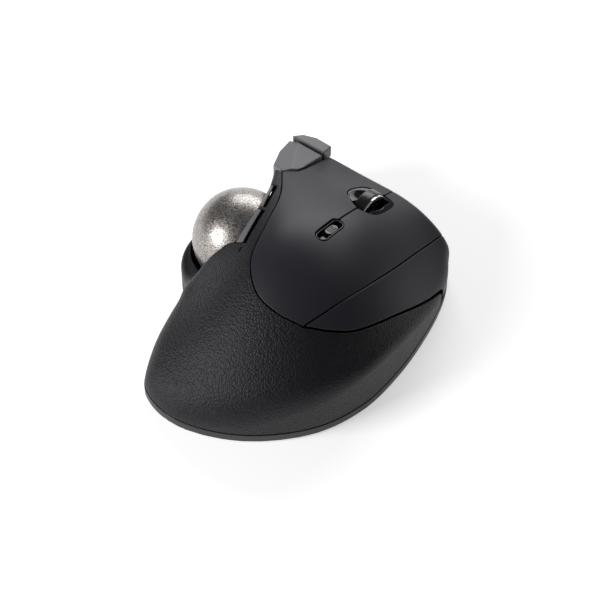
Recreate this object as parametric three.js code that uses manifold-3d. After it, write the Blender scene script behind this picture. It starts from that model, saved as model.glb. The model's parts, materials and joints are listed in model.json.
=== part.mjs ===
// Thumb-operated trackball mouse for the right hand, modelled as an assembly of separate pieces.
// Units are millimetres. +Z is up, +Y points to the front edge under the fingertips, +X to the ring finger.
// The free-form body is one smooth field. Shell pieces are cut from it along seams drawn in plan.
import * as THREE from 'three';
import { mergeVertices } from 'three/addons/utils/BufferGeometryUtils.js';
import Module from 'manifold-3d';

const wasm = await Module();
wasm.setup();

// ---- driving dimensions ------------------------------------------------------------------------------

// hand body, without the ball housing
const BODY_WIDTH = 101;
const BODY_LENGTH = 139;
const BODY_HEIGHT = 57.4;
const SHELL_WALL = 2.2;
const BUTTON_WALL = 3.2;
const FLOOR_LOW = 0.8;
const FLOOR_WALL = 2;
const CASE_TOP = 5.2;
const CASE_GAP = 0.4;

// gaps
const SEAM = 0.5;
const FIT = 0.3;

// ball and its housing
const BALL_RADIUS = 22;
const BALL_REST = 4.5;
const CUP_CLEARANCE = 1.2;
const CUP_WALL = 1.7;
const HOUSING_WALL = 2.3;
const HOUSING_RIM = 19.5;
const SUPPORT_RADIUS = 1.25;
const PUSH_HOLE_RADIUS = 4;
const LENS_RADIUS = 2.9;

// scroll wheel
const WHEEL_RADIUS = 10.5;
const WHEEL_WIDTH = 6;
const WHEEL_PROUD = 4;
const TYRE_DEPTH = 2;
const AXLE_RADIUS = 1.2;
const RING_WIDTH = 0.7;
const CLICK_TRAVEL = 0.8;
const TILT_ROOM = 2;

// buttons and switches
const SWITCH_HEIGHT = 5;
const SWITCH_SIDE = 6;
const MAIN_SWITCH = [5.8, 12.8, 6.5];
const PLUNGER = 0.8;
const POST_GAP = 0.9;
const POST_RADIUS = 1.6;
const SLOT_WIDTH = 2;
const MODE_RADIUS = 3.1;
const MODE_REACH = 10.8;
const MODE_DEPTH = 3.6;

// cell, door and fasteners
const CELL_RADIUS = 7.1;
const CELL_LENGTH = 50.5;
const DOOR_WALL = 1.6;
const BOARD_WALL = 1.6;
const FRAME_WALL = 2;
const SCREW_RADIUS = 1.2;
const HEAD_RADIUS = 2.6;
const SCREW_LENGTH = 9.5;
const FOOT_PROUD = 0.8;
const FOOT_SEAT = 0.4;

// ---- the body field ----------------------------------------------------------------------------------

const SX = BODY_WIDTH / 101;
const SY = BODY_LENGTH / 139;
const SZ = BODY_HEIGHT / 57.4;
const place = (x, y) => [x * SX, y * SY];

// plan outline of the hand body, clockwise from the front left corner
const HAND_OUTLINE = [
  [-50, 63], [-30, 66.5], [0, 67], [31, 66.3], [38.5, 60], [44, 49.5], [48.5, 31], [51, 6], [49, -19],
  [38.5, -42], [17, -62], [-9, -72], [-29, -68], [-37, -54], [-40, -36], [-39, -19], [-35, -6], [-31, 9],
  [-34, 25], [-43, 43],
];

// heights that pull the crown surface up, rows from rear to front, columns from left to right
const CROWN_X = { first: -60, step: 24 };
const CROWN_Y = { first: -76, step: 24 };
const CROWN = [
  [6, 6, 8, 8, 6, 4],
  [6, 18, 33, 32, 22, 10],
  [8, 26, 50, 50, 39, 14],
  [22, 42, 62, 59, 49, 16],
  [38, 50, 57, 55, 40, 10],
  [41, 45, 48, 47, 29, -6],
  [30, 31, 28, 32, 21, -12],
];

const BALL = new THREE.Vector3(-36.6 * SX, 9.6 * SY, BALL_REST + BALL_RADIUS);
const CUP_INNER = BALL_RADIUS + CUP_CLEARANCE;
const CUP_OUTER = CUP_INNER + CUP_WALL;
const CUP_SEAT = CUP_OUTER + FIT;
// the ball leaves its cup up and to the left, along this direction
const LIFT = new THREE.Vector3(-0.85, -0.05, 0.53).normalize();
// the housing lobe is as wide as the ball and its wall, around a short line below the ball
const LOBE_RADIUS = BALL_RADIUS + HOUSING_WALL;
const LOBE_REAR = [BALL.x + 1.6, BALL.y - 6.8];
const LOBE_FRONT = [BALL.x + 0.6, BALL.y + 0.9];

function closedCurve(points, count) {
  const curve = new THREE.CatmullRomCurve3(points.map(([x, y]) => new THREE.Vector3(x, y, 0)), true, 'catmullrom');
  return curve.getPoints(count).slice(0, count).map((p) => [p.x, p.y]);
}

function openCurve(points, count) {
  const curve = new THREE.CatmullRomCurve3(points.map(([x, y]) => new THREE.Vector3(x, y, 0)), false, 'centripetal');
  return curve.getPoints(count).map((p) => [p.x, p.y]);
}

const OUTLINE = closedCurve(HAND_OUTLINE.map(([x, y]) => place(x, y)), HAND_OUTLINE.length * 6);

function outlineDistance(x, y) {
  let nearest = Infinity;
  let inside = false;
  for (let i = 0, j = OUTLINE.length - 1; i < OUTLINE.length; j = i++) {
    const [ax, ay] = OUTLINE[j];
    const [bx, by] = OUTLINE[i];
    const ex = bx - ax;
    const ey = by - ay;
    const t = Math.min(1, Math.max(0, ((x - ax) * ex + (y - ay) * ey) / (ex * ex + ey * ey)));
    nearest = Math.min(nearest, Math.hypot(x - ax - ex * t, y - ay - ey * t));
    if (by > y !== ay > y && x < ((ax - bx) * (y - by)) / (ay - by) + bx) inside = !inside;
  }
  return inside ? -nearest : nearest;
}

function splineWeights(t) {
  const s = 1 - t;
  return [s ** 3 / 6, (3 * t ** 3 - 6 * t ** 2 + 4) / 6, (-3 * t ** 3 + 3 * t ** 2 + 3 * t + 1) / 6, t ** 3 / 6];
}

function crown(x, y) {
  const columns = CROWN[0].length;
  const rows = CROWN.length;
  const clamp = (value, top) => Math.min(top, Math.max(0, value));
  const u = clamp((x / SX - CROWN_X.first) / CROWN_X.step, columns - 1.000001);
  const v = clamp((y / SY - CROWN_Y.first) / CROWN_Y.step, rows - 1.000001);
  const i = Math.floor(u);
  const j = Math.floor(v);
  const across = splineWeights(u - i);
  const along = splineWeights(v - j);
  let height = 0;
  for (let p = 0; p < 4; p++) {
    for (let q = 0; q < 4; q++) {
      height += along[p] * across[q] * CROWN[clamp(j + p - 1, rows - 1)][clamp(i + q - 1, columns - 1)];
    }
  }
  return height * SZ;
}

function smoothMax(a, b, reach) {
  const h = Math.max(reach - Math.abs(a - b), 0) / reach;
  return Math.max(a, b) + (h * h * reach) / 4;
}

// below zero inside the body; close to the distance from its surface in millimetres
function bodyField(x, y, z) {
  const tuck = 0.0105 * Math.max(10 - z, 0) ** 1.5;
  const side = outlineDistance(x, y) + tuck;
  const top = (z - crown(x, y)) * 0.85;
  const edge = Math.min(9, Math.max(2.5, 3 + (-y / SY - 20) * 0.15));
  const hand = smoothMax(side, top, edge);
  const dx = LOBE_FRONT[0] - LOBE_REAR[0];
  const dy = LOBE_FRONT[1] - LOBE_REAR[1];
  const along = ((x - LOBE_REAR[0]) * dx + (y - LOBE_REAR[1]) * dy) / (dx * dx + dy * dy);
  const t = Math.min(1, Math.max(0, along));
  const round = Math.hypot(x - LOBE_REAR[0] - t * dx, y - LOBE_REAR[1] - t * dy) - LOBE_RADIUS + tuck;
  const lobe = smoothMax(round, z - HOUSING_RIM, 4);
  return -smoothMax(-hand, -lobe, 12);
}

const HEART = new THREE.Vector3(4 * SX, 0, 12);

// distance from the heart of the body to its surface, pulled in by inset
function reachOf(direction, inset) {
  let low = 0;
  let high = 140;
  for (let step = 0; step < 20; step++) {
    const middle = (low + high) / 2;
    const x = HEART.x + direction.x * middle;
    const y = HEART.y + direction.y * middle;
    const z = HEART.z + direction.z * middle;
    if (bodyField(x, y, z) + inset < 0) low = middle;
    else high = middle;
  }
  return low;
}

// headings that are evenly spaced along the widest line of the body
function evenHeadings(count) {
  const fine = 720;
  const rim = [];
  for (let i = 0; i <= fine; i++) {
    const angle = (i / fine) * 2 * Math.PI;
    const reach = reachOf(new THREE.Vector3(Math.cos(angle), Math.sin(angle), 0), 0);
    rim.push([reach * Math.cos(angle), reach * Math.sin(angle)]);
  }
  const run = [0];
  for (let i = 1; i <= fine; i++) {
    run.push(run[i - 1] + Math.hypot(rim[i][0] - rim[i - 1][0], rim[i][1] - rim[i - 1][1]));
  }
  const headings = [];
  let at = 0;
  for (let k = 0; k < count; k++) {
    const wanted = (k / count) * run[fine];
    while (run[at + 1] < wanted) at++;
    const share = (wanted - run[at]) / (run[at + 1] - run[at]);
    headings.push(((at + share) / fine) * 2 * Math.PI);
  }
  return headings;
}

const HEADINGS = evenHeadings(52);
const RINGS = 13;

function rayAt(heading, tilt) {
  const flat = Math.cos(tilt);
  return new THREE.Vector3(Math.cos(heading) * flat, Math.sin(heading) * flat, Math.sin(tilt));
}

// the tilt at which a ray meets the skin of the body just under its floor
function lowestTilt(heading, inset, lowest) {
  let steep = 0;
  let flat = -Math.PI / 2;
  for (let step = 0; step < 14; step++) {
    const trial = (steep + flat) / 2;
    const ray = rayAt(heading, trial);
    if (HEART.z + ray.z * reachOf(ray, inset) > lowest) steep = trial;
    else flat = trial;
  }
  return steep;
}

// closed solid of the body, pulled in by inset, from above its crown down to a flat cap below the floor
function bodySolid(inset) {
  const lowest = -1;
  const tilts = HEADINGS.map((heading) => lowestTilt(heading, inset, lowest));
  const positions = [HEART.x, HEART.y, HEART.z + reachOf(new THREE.Vector3(0, 0, 1), inset)];
  for (let ring = 1; ring <= RINGS; ring++) {
    for (const [i, heading] of HEADINGS.entries()) {
      const ray = rayAt(heading, Math.PI / 2 + (tilts[i] - Math.PI / 2) * (ring / RINGS));
      const reach = reachOf(ray, inset);
      positions.push(HEART.x + ray.x * reach, HEART.y + ray.y * reach, HEART.z + ray.z * reach);
    }
  }
  positions.push(HEART.x, HEART.y, lowest);
  const count = HEADINGS.length;
  const last = positions.length / 3 - 1;
  const index = [];
  for (let i = 0; i < count; i++) {
    const next = (i + 1) % count;
    index.push(0, 1 + i, 1 + next);
    for (let ring = 0; ring < RINGS - 1; ring++) {
      const a = 1 + ring * count + i;
      const b = 1 + ring * count + next;
      index.push(a, a + count, b);
      index.push(b, a + count, b + count);
    }
    index.push(last, 1 + (RINGS - 1) * count + next, 1 + (RINGS - 1) * count + i);
  }
  return new wasm.Manifold(new wasm.Mesh({
    numProp: 3,
    vertProperties: new Float32Array(positions),
    triVerts: new Uint32Array(index),
  }));
}

// ---- solids ------------------------------------------------------------------------------------------

function toSolid(geometry) {
  const plain = geometry.clone();
  for (const name of Object.keys(plain.attributes)) {
    if (name !== 'position') plain.deleteAttribute(name);
  }
  const merged = mergeVertices(plain, 1e-4);
  return new wasm.Manifold(new wasm.Mesh({
    numProp: 3,
    vertProperties: new Float32Array(merged.attributes.position.array),
    triVerts: new Uint32Array(merged.index.array),
  }));
}

function toGeometry(solid) {
  const mesh = solid.getMesh();
  const geometry = new THREE.BufferGeometry();
  geometry.setAttribute('position', new THREE.BufferAttribute(new Float32Array(mesh.vertProperties), 3));
  geometry.setIndex(new THREE.BufferAttribute(new Uint32Array(mesh.triVerts), 1));
  geometry.computeVertexNormals();
  return geometry;
}

function block([x0, x1], [y0, y1], [z0, z1]) {
  const geometry = new THREE.BoxGeometry(x1 - x0, y1 - y0, z1 - z0);
  geometry.translate((x0 + x1) / 2, (y0 + y1) / 2, (z0 + z1) / 2);
  return toSolid(geometry);
}

function prism(points, low, high) {
  const shape = new THREE.Shape(points.map(([x, y]) => new THREE.Vector2(x, y)));
  const geometry = new THREE.ExtrudeGeometry(shape, { depth: high - low, bevelEnabled: false });
  geometry.translate(0, 0, low);
  return toSolid(geometry);
}

// upright round post
function drum(x, y, low, high, radius, sides = 14) {
  const geometry = new THREE.CylinderGeometry(radius, radius, high - low, sides);
  geometry.rotateX(Math.PI / 2);
  geometry.translate(x, y, (low + high) / 2);
  return toSolid(geometry);
}

// round rod from start to end
function rod(start, end, radius, sides = 20) {
  const run = new THREE.Vector3().subVectors(end, start);
  const geometry = new THREE.CylinderGeometry(radius, radius, run.length(), sides);
  const turn = new THREE.Quaternion().setFromUnitVectors(new THREE.Vector3(0, 1, 0), run.clone().normalize());
  geometry.applyQuaternion(turn);
  geometry.translate((start.x + end.x) / 2, (start.y + end.y) / 2, (start.z + end.z) / 2);
  return toSolid(geometry);
}

function globe(centre, radius, across, up) {
  const geometry = new THREE.SphereGeometry(radius, across, up);
  geometry.translate(centre.x, centre.y, centre.z);
  return toSolid(geometry);
}

// ring or disc about the X axis; the profile runs along x and outwards
function turned(profile, centre, sides = 36) {
  const geometry = new THREE.LatheGeometry(profile.map(([x, r]) => new THREE.Vector2(r, x)), sides);
  geometry.rotateZ(-Math.PI / 2);
  geometry.translate(centre.x, centre.y, centre.z);
  const solid = toSolid(geometry);
  return solid;
}

// a sphere swept along the direction in which the ball lifts out
const SWEEP_SIDES = 24;

function liftSweep(radius) {
  const end = BALL.clone().addScaledVector(LIFT, 60);
  const tube = rod(BALL, end, radius, SWEEP_SIDES);
  const turn = new THREE.Quaternion().setFromUnitVectors(new THREE.Vector3(0, 1, 0), LIFT);
  const geometry = new THREE.SphereGeometry(radius, SWEEP_SIDES, SWEEP_SIDES / 2);
  geometry.applyQuaternion(turn);
  geometry.translate(BALL.x, BALL.y, BALL.z);
  return tube.add(toSolid(geometry));
}

// everything under a plane through a point
function under(point, normal) {
  const geometry = new THREE.BoxGeometry(500, 500, 200);
  geometry.translate(0, 0, -100);
  const up = normal.clone().normalize();
  geometry.applyQuaternion(new THREE.Quaternion().setFromUnitVectors(new THREE.Vector3(0, 0, 1), up));
  geometry.translate(point.x, point.y, point.z);
  return toSolid(geometry);
}

function signedArea(points) {
  return points.reduce((sum, [x, y], i) => {
    const [nx, ny] = points[(i + 1) % points.length];
    return sum + (x * ny - nx * y) / 2;
  }, 0);
}

// a plan outline moved outwards by d, or inwards when d is negative
function grow(points, d) {
  const way = signedArea(points) > 0 ? 1 : -1;
  const count = points.length;
  return points.map(([x, y], i) => {
    const [ax, ay] = points[(i + count - 1) % count];
    const [bx, by] = points[(i + 1) % count];
    const first = new THREE.Vector2(x - ax, y - ay).normalize();
    const second = new THREE.Vector2(bx - x, by - y).normalize();
    const bisector = new THREE.Vector2(first.y + second.y, -first.x - second.x).normalize();
    const open = Math.max(0.35, bisector.x * first.y - bisector.y * first.x);
    return [x + (bisector.x * d * way) / open, y + (bisector.y * d * way) / open];
  });
}

function stadium(cx, cy, reach, radius, sides = 8) {
  const points = [];
  for (const end of [1, -1]) {
    for (let i = 0; i <= sides; i++) {
      const angle = (i / sides) * Math.PI + (end > 0 ? 0 : Math.PI);
      points.push([cx + radius * Math.cos(angle), cy + (end * reach) / 2 + radius * Math.sin(angle)]);
    }
  }
  return points;
}

// ---- the tree ----------------------------------------------------------------------------------------

const mouse = new THREE.Group();

const FINISHES = {
  grained: { color: 0x1c1d20, roughness: 0.62, metalness: 0 },
  satin: { color: 0x26272b, roughness: 0.5, metalness: 0 },
  gloss: { color: 0x070708, roughness: 0.08, metalness: 0 },
  ballSilver: { color: 0x9c9692, roughness: 0.25, metalness: 0.9 },
  chrome: { color: 0xd8d8da, roughness: 0.1, metalness: 1 },
  rubber: { color: 0x151518, roughness: 0.7, metalness: 0 },
  board: { color: 0x1b4a2c, roughness: 0.5, metalness: 0 },
  nylon: { color: 0x2e2f33, roughness: 0.6, metalness: 0 },
  steel: { color: 0xa5a7ab, roughness: 0.3, metalness: 1 },
  ruby: { color: 0xb9b4ae, roughness: 0.2, metalness: 0 },
  clear: { color: 0xd5dde2, roughness: 0.1, metalness: 0 },
  cell: { color: 0x3c6f8c, roughness: 0.35, metalness: 0.2 },
  glide: { color: 0xcfcfca, roughness: 0.35, metalness: 0 },
};

function add(name, solid, finish) {
  const mesh = new THREE.Mesh(toGeometry(solid), new THREE.MeshStandardMaterial(FINISHES[finish]));
  mesh.name = name;
  mouse.add(mesh);
}

// ---- shells ------------------------------------------------------------------------------------------

const outer = bodySolid(-0.12);
const inner = bodySolid(SHELL_WALL);
const deep = bodySolid(BUTTON_WALL);
const hidden = bodySolid(FIT);
const TALL = 90;
const scaled = (points) => points.map(([x, y]) => place(x, y));

// seams in plan: the left edge of the top plate, its seam with the ring finger panel, the panel's lower edge
const PLATE_LEFT = openCurve(scaled([
  [-36, 37.6], [-25.4, 22.2], [-18.9, 3.5], [-13.2, -14], [-2.3, -24.6], [10, -27], [22.1, -24.7],
]), 14);
const PLATE_RIGHT = openCurve(scaled([
  [22.1, -24.7], [26.6, -12.3], [30.1, 4], [31.2, 24.4], [30.8, 48], [30.8, 76],
]), 8);
const PANEL_LOW = openCurve(scaled([
  [22.1, -24.7], [31.2, -18.4], [38, -10.2], [42.1, 2.1], [44.7, 20.8], [45.4, 35.4], [44.9, 46.7], [46, 52],
]), 10);
const KEY_EDGE = scaled([[-31, 76], [-31, 61.5], [-30.3, 46], [-30.9, 42.5]]);

const PLATE = [...PLATE_LEFT, ...PLATE_RIGHT.slice(1), ...KEY_EDGE];
const PANEL = [...PANEL_LOW, ...scaled([[75, 56], [75, 76]]), ...PLATE_RIGHT.slice(1).reverse()];
const REAR_KEY = scaled([[-36.2, 37.6], [-30.9, 42.5], [-30.3, 46], [-31, 61.2], [-50.1, 61.2], [-48.8, 52], [-44, 41]]);
const FRONT_KEY = scaled([
  [-31, 62.1], [-31, 68.1], [-40, 68.5], [-46, 66.3], [-50, 62.1],
]);

const PLATE_WRAP = 21 * SZ;
const WRAP_SLOPE = -0.2;
const PANEL_WRAP = 8;
const KEY_WRAP = 31 * SZ;
const WRAP_GAP = 1.2;

// everything above a line that falls towards the right
function above(height, slope) {
  const far = 120;
  const shape = [[-far, height - far * slope], [far, height + far * slope], [far, TALL + far], [-far, TALL + far]];
  const geometry = new THREE.ExtrudeGeometry(
    new THREE.Shape(shape.map(([x, z]) => new THREE.Vector2(x, z))),
    { depth: 2 * far, bevelEnabled: false },
  );
  geometry.rotateX(Math.PI / 2);
  geometry.translate(0, far, 0);
  return toSolid(geometry);
}

const slice = (low, high) => block([-150, 150], [-150, 150], [low, high]);
const ballSweep = liftSweep(BALL_RADIUS + 0.7);
const cupSweep = liftSweep(CUP_SEAT);

// wheel opening in the plate
const WHEEL_X = 3 * SX;
const WHEEL_Y = 46.4 * SY;
const WHEEL = new THREE.Vector3(WHEEL_X, WHEEL_Y, crown(WHEEL_X, WHEEL_Y) - (WHEEL_RADIUS - WHEEL_PROUD) / 0.88);
const OPENING = closedCurve([
  [-9.6, -1], [-9.6, 8.5], [-6, 12.4], [4.5, 12.4], [7.8, 8.5], [8, -2], [5, -6.2], [-1, -7.2],
].map(([x, y]) => [WHEEL.x + x, WHEEL.y + y]), 32);

// mode switch recess, tilted with the plate
const MODE = new THREE.Vector3(4.7 * SX, 17.2 * SY, 0);
MODE.z = crown(MODE.x, MODE.y);
const MODE_SLOPE = (crown(MODE.x, MODE.y + 5) - crown(MODE.x, MODE.y - 5)) / 10;
const MODE_TILT = Math.atan(MODE_SLOPE);

// a solid drawn around the origin, tilted and placed at the mode switch
function atMode(points, low, high) {
  const shape = new THREE.Shape(points.map(([x, y]) => new THREE.Vector2(x, y)));
  const geometry = new THREE.ExtrudeGeometry(shape, { depth: high - low, bevelEnabled: false });
  geometry.translate(0, 0, low);
  geometry.rotateX(MODE_TILT);
  geometry.translate(MODE.x, MODE.y, MODE.z);
  return toSolid(geometry);
}

// thumb buttons: each blade lies left of a dark slot along the edge of the shell
const SLOT_EDGE = scaled([[-30.6, 27.3], [-25.9, 12.9], [-25.2, 11.6], [-21.4, -7]]);
const BLADES = [
  { name: 'forward_button', edge: [SLOT_EDGE[0], SLOT_EDGE[1]], stem: 20 * SY },
  { name: 'back_button', edge: [SLOT_EDGE[2], SLOT_EDGE[3]], stem: 2.5 * SY },
];
const FAR_LEFT = -62 * SX;
const BLADE_LOW = 37 * SZ;

const slotHole = ({ edge }) => prism(
  [edge[0], [FAR_LEFT, edge[0][1]], [FAR_LEFT, edge[1][1]], edge[1]], BLADE_LOW - 1, TALL,
);

// each blade reaches its switch through a stem under the strip
const STEM_TIP = -18.7 * SX;
const STEM = { low: 46.2 * SZ, high: 48.2 * SZ, half: 1.8 };
const stemRoom = ({ stem }) => block(
  [-31 * SX, STEM_TIP], [stem - STEM.half - 0.5, stem + STEM.half + 0.5], [STEM.low - 0.6, STEM.high + 0.5],
);

const upper = outer.subtract(inner).intersect(slice(CASE_TOP + CASE_GAP, TALL));
const plateHole = prism(grow(PLATE, SEAM / 2), 0, TALL).intersect(above(PLATE_WRAP - WRAP_GAP, WRAP_SLOPE));
const plateTool = prism(grow(PLATE, -SEAM / 2), 0, TALL).intersect(above(PLATE_WRAP, WRAP_SLOPE));
const panelHole = prism(grow(PANEL, SEAM / 2), PANEL_WRAP - WRAP_GAP, TALL);
const panelTool = prism(grow(PANEL, -SEAM / 2), PANEL_WRAP, TALL);
const rearKeyHole = prism(grow(REAR_KEY, SEAM / 2), KEY_WRAP - WRAP_GAP, TALL);
const frontKeyHole = prism(grow(FRONT_KEY, SEAM / 2), KEY_WRAP - WRAP_GAP, TALL);
const keyGap = block([-80 * SX, -31 * SX], [61 * SY, 62.3 * SY], [KEY_WRAP - WRAP_GAP, TALL]);

// screw posts
const SCREWS = [
  { at: place(-36, 54), holder: 'frame' },
  { at: place(27, 50), holder: 'frame' },
  { at: place(-24, -44), holder: 'shell' },
  { at: place(34, -26), holder: 'shell' },
];
const PAD_TOP = 4.2;
const POST_LOW = PAD_TOP + FIT;
const POST_WIDE = 3.2;
const POST_BORE = SCREW_RADIUS + FIT;
const SCREW_TOP = FLOOR_LOW + 1.5 + SCREW_LENGTH;

function screwPost(x, y, high) {
  return drum(x, y, POST_LOW, high, POST_WIDE);
}

let palm = upper.subtract(plateHole).subtract(panelHole);
palm = palm.subtract(rearKeyHole).subtract(frontKeyHole).subtract(keyGap);
for (const { at, holder } of SCREWS) {
  if (holder === 'shell') palm = palm.add(screwPost(at[0], at[1], TALL).intersect(hidden));
}
for (const { at } of SCREWS) palm = palm.subtract(drum(at[0], at[1], 0, SCREW_TOP + FIT, POST_BORE));
palm = palm.subtract(cupSweep);
for (const blade of BLADES) palm = palm.subtract(slotHole(blade)).subtract(stemRoom(blade));

// light guide beside the thumb buttons
const GUIDE = { x: -21.8 * SX, y: -10 * SY, radius: 0.9, arm: 41 * SZ };
palm = palm.subtract(drum(GUIDE.x, GUIDE.y, 30, TALL, GUIDE.radius + FIT, 12));
add('palm_shell', palm, 'grained');

// the top plate and its two flexing halves
const SLIT_X = 3.6 * SX;
const FLEX_Y = 6 * SY;
const MODE_HOLE = atMode(stadium(0, 0, MODE_REACH, MODE_RADIUS), -12, 20);
const plate = upper.intersect(plateTool).subtract(prism(OPENING, 0, TALL)).subtract(MODE_HOLE);
add('top_plate', plate.intersect(block([-90, 90], [-90, FLEX_Y - FIT / 2], [0, TALL])), 'satin');

// posts under the buttons press the switches that stand on the frame
const FRAME_TOP = 24 * SZ;
const SWITCHES = {
  left: { at: place(-16, 46), size: MAIN_SWITCH },
  right: { at: place(19, 43), size: MAIN_SWITCH },
  ring: { at: place(33, 22), size: [SWITCH_SIDE, SWITCH_SIDE, SWITCH_HEIGHT] },
  rear_key: { at: place(-38, 49), size: [SWITCH_SIDE, SWITCH_SIDE, SWITCH_HEIGHT] },
  front_key: { at: place(-38.5, 58.8), size: [SWITCH_SIDE, SWITCH_SIDE, 3.5] },
};
const SWITCH_LOW = FRAME_TOP + FIT;

function pressPost(key, within) {
  const { at, size } = SWITCHES[key];
  const low = SWITCH_LOW + size[2] + PLUNGER + POST_GAP;
  return drum(at[0], at[1], low, TALL, POST_RADIUS, 12).intersect(within);
}

const halves = [
  { name: 'left_button', key: 'left', x: [-90, SLIT_X - SEAM / 2] },
  { name: 'right_button', key: 'right', x: [SLIT_X + SEAM / 2, 90] },
];
for (const { name, key, x } of halves) {
  const half = plate.intersect(block(x, [FLEX_Y + FIT / 2, 90], [0, TALL]));
  add(name, half.add(pressPost(key, hidden)), 'satin');
}

// ring finger panel
add('ring_finger_button', upper.intersect(panelTool).add(pressPost('ring', hidden)), 'satin');

// function keys at the front left: hollow caps with flat facets
const KEY_CAP = 2;
const KEY_SIDE = 1.8;
const REAR_FACETS = [
  { point: new THREE.Vector3(-31 * SX, 42.5 * SY, 45 * SZ), normal: new THREE.Vector3(0, 0.4, 1) },
  { point: new THREE.Vector3(-34.4 * SX, 42.1 * SY, 45.1 * SZ), normal: new THREE.Vector3(-0.48, 0.13, 1) },
];
const FRONT_FACETS = [
  { point: new THREE.Vector3(-31 * SX, 62.1 * SY, 38.3 * SZ), normal: new THREE.Vector3(-0.03, 0.12, 1) },
];

function keyCap(outline, facets) {
  let cap = prism(outline, KEY_WRAP, TALL);
  let pocket = prism(grow(outline, -KEY_SIDE), KEY_WRAP - 1, TALL);
  for (const { point, normal } of facets) {
    cap = cap.intersect(under(point, normal));
    pocket = pocket.intersect(under(point.clone().add(new THREE.Vector3(0, 0, -KEY_CAP)), normal));
  }
  return cap.subtract(pocket);
}

// the front key is narrow, so an arm under the rim of the rear key reaches its switch
const { at: frontAt, size: frontSize } = SWITCHES.front_key;
const armLow = SWITCH_LOW + frontSize[2] + PLUNGER + POST_GAP;
const armX = [frontAt[0] - 1.6, frontAt[0] + 1.6];
const armEnd = 62.8 * SY;
const arm = block(armX, [frontAt[1] - 1.4, armEnd], [armLow, armLow + 1.2]);
const riser = block(armX, [armEnd - 1.1, armEnd], [armLow, KEY_WRAP + 3]);
const armRoom = block([armX[0] - 0.5, armX[1] + 0.5], [frontAt[1] - 2, armEnd], [0, armLow + 1.2 + CLICK_TRAVEL + 0.6]);

const rearAt = SWITCHES.rear_key.at;
let rearPost = drum(rearAt[0], rearAt[1], SWITCH_LOW + SWITCHES.rear_key.size[2] + PLUNGER + POST_GAP, TALL, POST_RADIUS);
for (const { point, normal } of REAR_FACETS) {
  rearPost = rearPost.intersect(under(point.clone().add(new THREE.Vector3(0, 0, -KEY_CAP / 2)), normal));
}
add('rear_function_key', keyCap(REAR_KEY, REAR_FACETS).subtract(armRoom).add(rearPost), 'satin');
add('front_function_key', keyCap(FRONT_KEY, FRONT_FACETS).add(arm).add(riser), 'satin');

// thumb buttons
const bladeStock = outer.subtract(deep);
for (const { name, edge, stem } of BLADES) {
  const [front, rear] = edge;
  const outline = [
    [front[0] - SLOT_WIDTH, front[1] - 0.4], [FAR_LEFT, front[1] - 0.4],
    [FAR_LEFT, rear[1] + 0.4], [rear[0] - SLOT_WIDTH, rear[1] + 0.4],
  ];
  const cap = bladeStock.intersect(prism(outline, BLADE_LOW, TALL));
  const arm = block([-31 * SX, STEM_TIP], [stem - STEM.half, stem + STEM.half], [STEM.low, STEM.high]);
  add(name, cap.add(arm.intersect(hidden)).subtract(ballSweep), 'satin');
}

// ---- ball, cup, supports and sensor --------------------------------------------------------------------

add('ball', globe(BALL, BALL_RADIUS, 30, 18), 'ballSilver');

const SENSOR_WAY = new THREE.Vector3(0.93, -0.12, -0.35).normalize();
const onWay = (way, distance) => BALL.clone().addScaledVector(way, distance);
const SUPPORT_DISTANCE = BALL_RADIUS + SUPPORT_RADIUS + FIT;
const SUPPORT_TILT = 1.05;

function supportWay(index) {
  const way = new THREE.Vector3(Math.sin(SUPPORT_TILT), 0, -Math.cos(SUPPORT_TILT));
  way.applyAxisAngle(new THREE.Vector3(0, 0, 1), (index * 2 * Math.PI) / 3 + 1.2);
  return way;
}

let cup = liftSweep(CUP_OUTER).intersect(hidden);
for (let i = 0; i < 3; i++) {
  cup = cup.add(globe(onWay(supportWay(i), SUPPORT_DISTANCE + 0.8), SUPPORT_RADIUS + 1.3, 12, 8));
}
cup = cup.subtract(liftSweep(CUP_INNER));
for (let i = 0; i < 3; i++) {
  const pocket = globe(onWay(supportWay(i), SUPPORT_DISTANCE), SUPPORT_RADIUS + FIT, 12, 8);
  cup = cup.subtract(pocket);
  add(`support_ball_${i + 1}`, globe(onWay(supportWay(i), SUPPORT_DISTANCE), SUPPORT_RADIUS, 12, 8), 'ruby');
}
cup = cup.subtract(drum(BALL.x, BALL.y, -5, BALL.z, PUSH_HOLE_RADIUS));
cup = cup.subtract(rod(onWay(SENSOR_WAY, 15), onWay(SENSOR_WAY, CUP_OUTER + 3), LENS_RADIUS + FIT));
for (const blade of BLADES) {
  const { edge, stem } = blade;
  const [front, rear] = edge;
  const room = [[front[0] + 1, front[1] + 0.6], [FAR_LEFT, front[1] + 0.6], [FAR_LEFT, rear[1] - 0.6],
    [rear[0] + 1, rear[1] - 0.6]];
  cup = cup.subtract(prism(room, BLADE_LOW - 1, TALL));
  const way = STEM.half + 0.6;
  cup = cup.subtract(block([-31 * SX, STEM_TIP + 2], [stem - way, stem + way], [STEM.low - 0.6, TALL]));
}
add('ball_cup', cup, 'gloss');
add('sensor_lens', rod(onWay(SENSOR_WAY, CUP_INNER + FIT), onWay(SENSOR_WAY, CUP_OUTER + 2), LENS_RADIUS), 'clear');

const sensorBoard = new THREE.BoxGeometry(9, 12, BOARD_WALL);
sensorBoard.applyQuaternion(new THREE.Quaternion().setFromUnitVectors(new THREE.Vector3(0, 0, 1), SENSOR_WAY));
const sensorAt = onWay(SENSOR_WAY, CUP_OUTER + 2 + FIT + BOARD_WALL / 2);
sensorBoard.translate(sensorAt.x, sensorAt.y, sensorAt.z);
add('sensor_board', toSolid(sensorBoard), 'board');

// ---- bottom case ---------------------------------------------------------------------------------------

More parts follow.
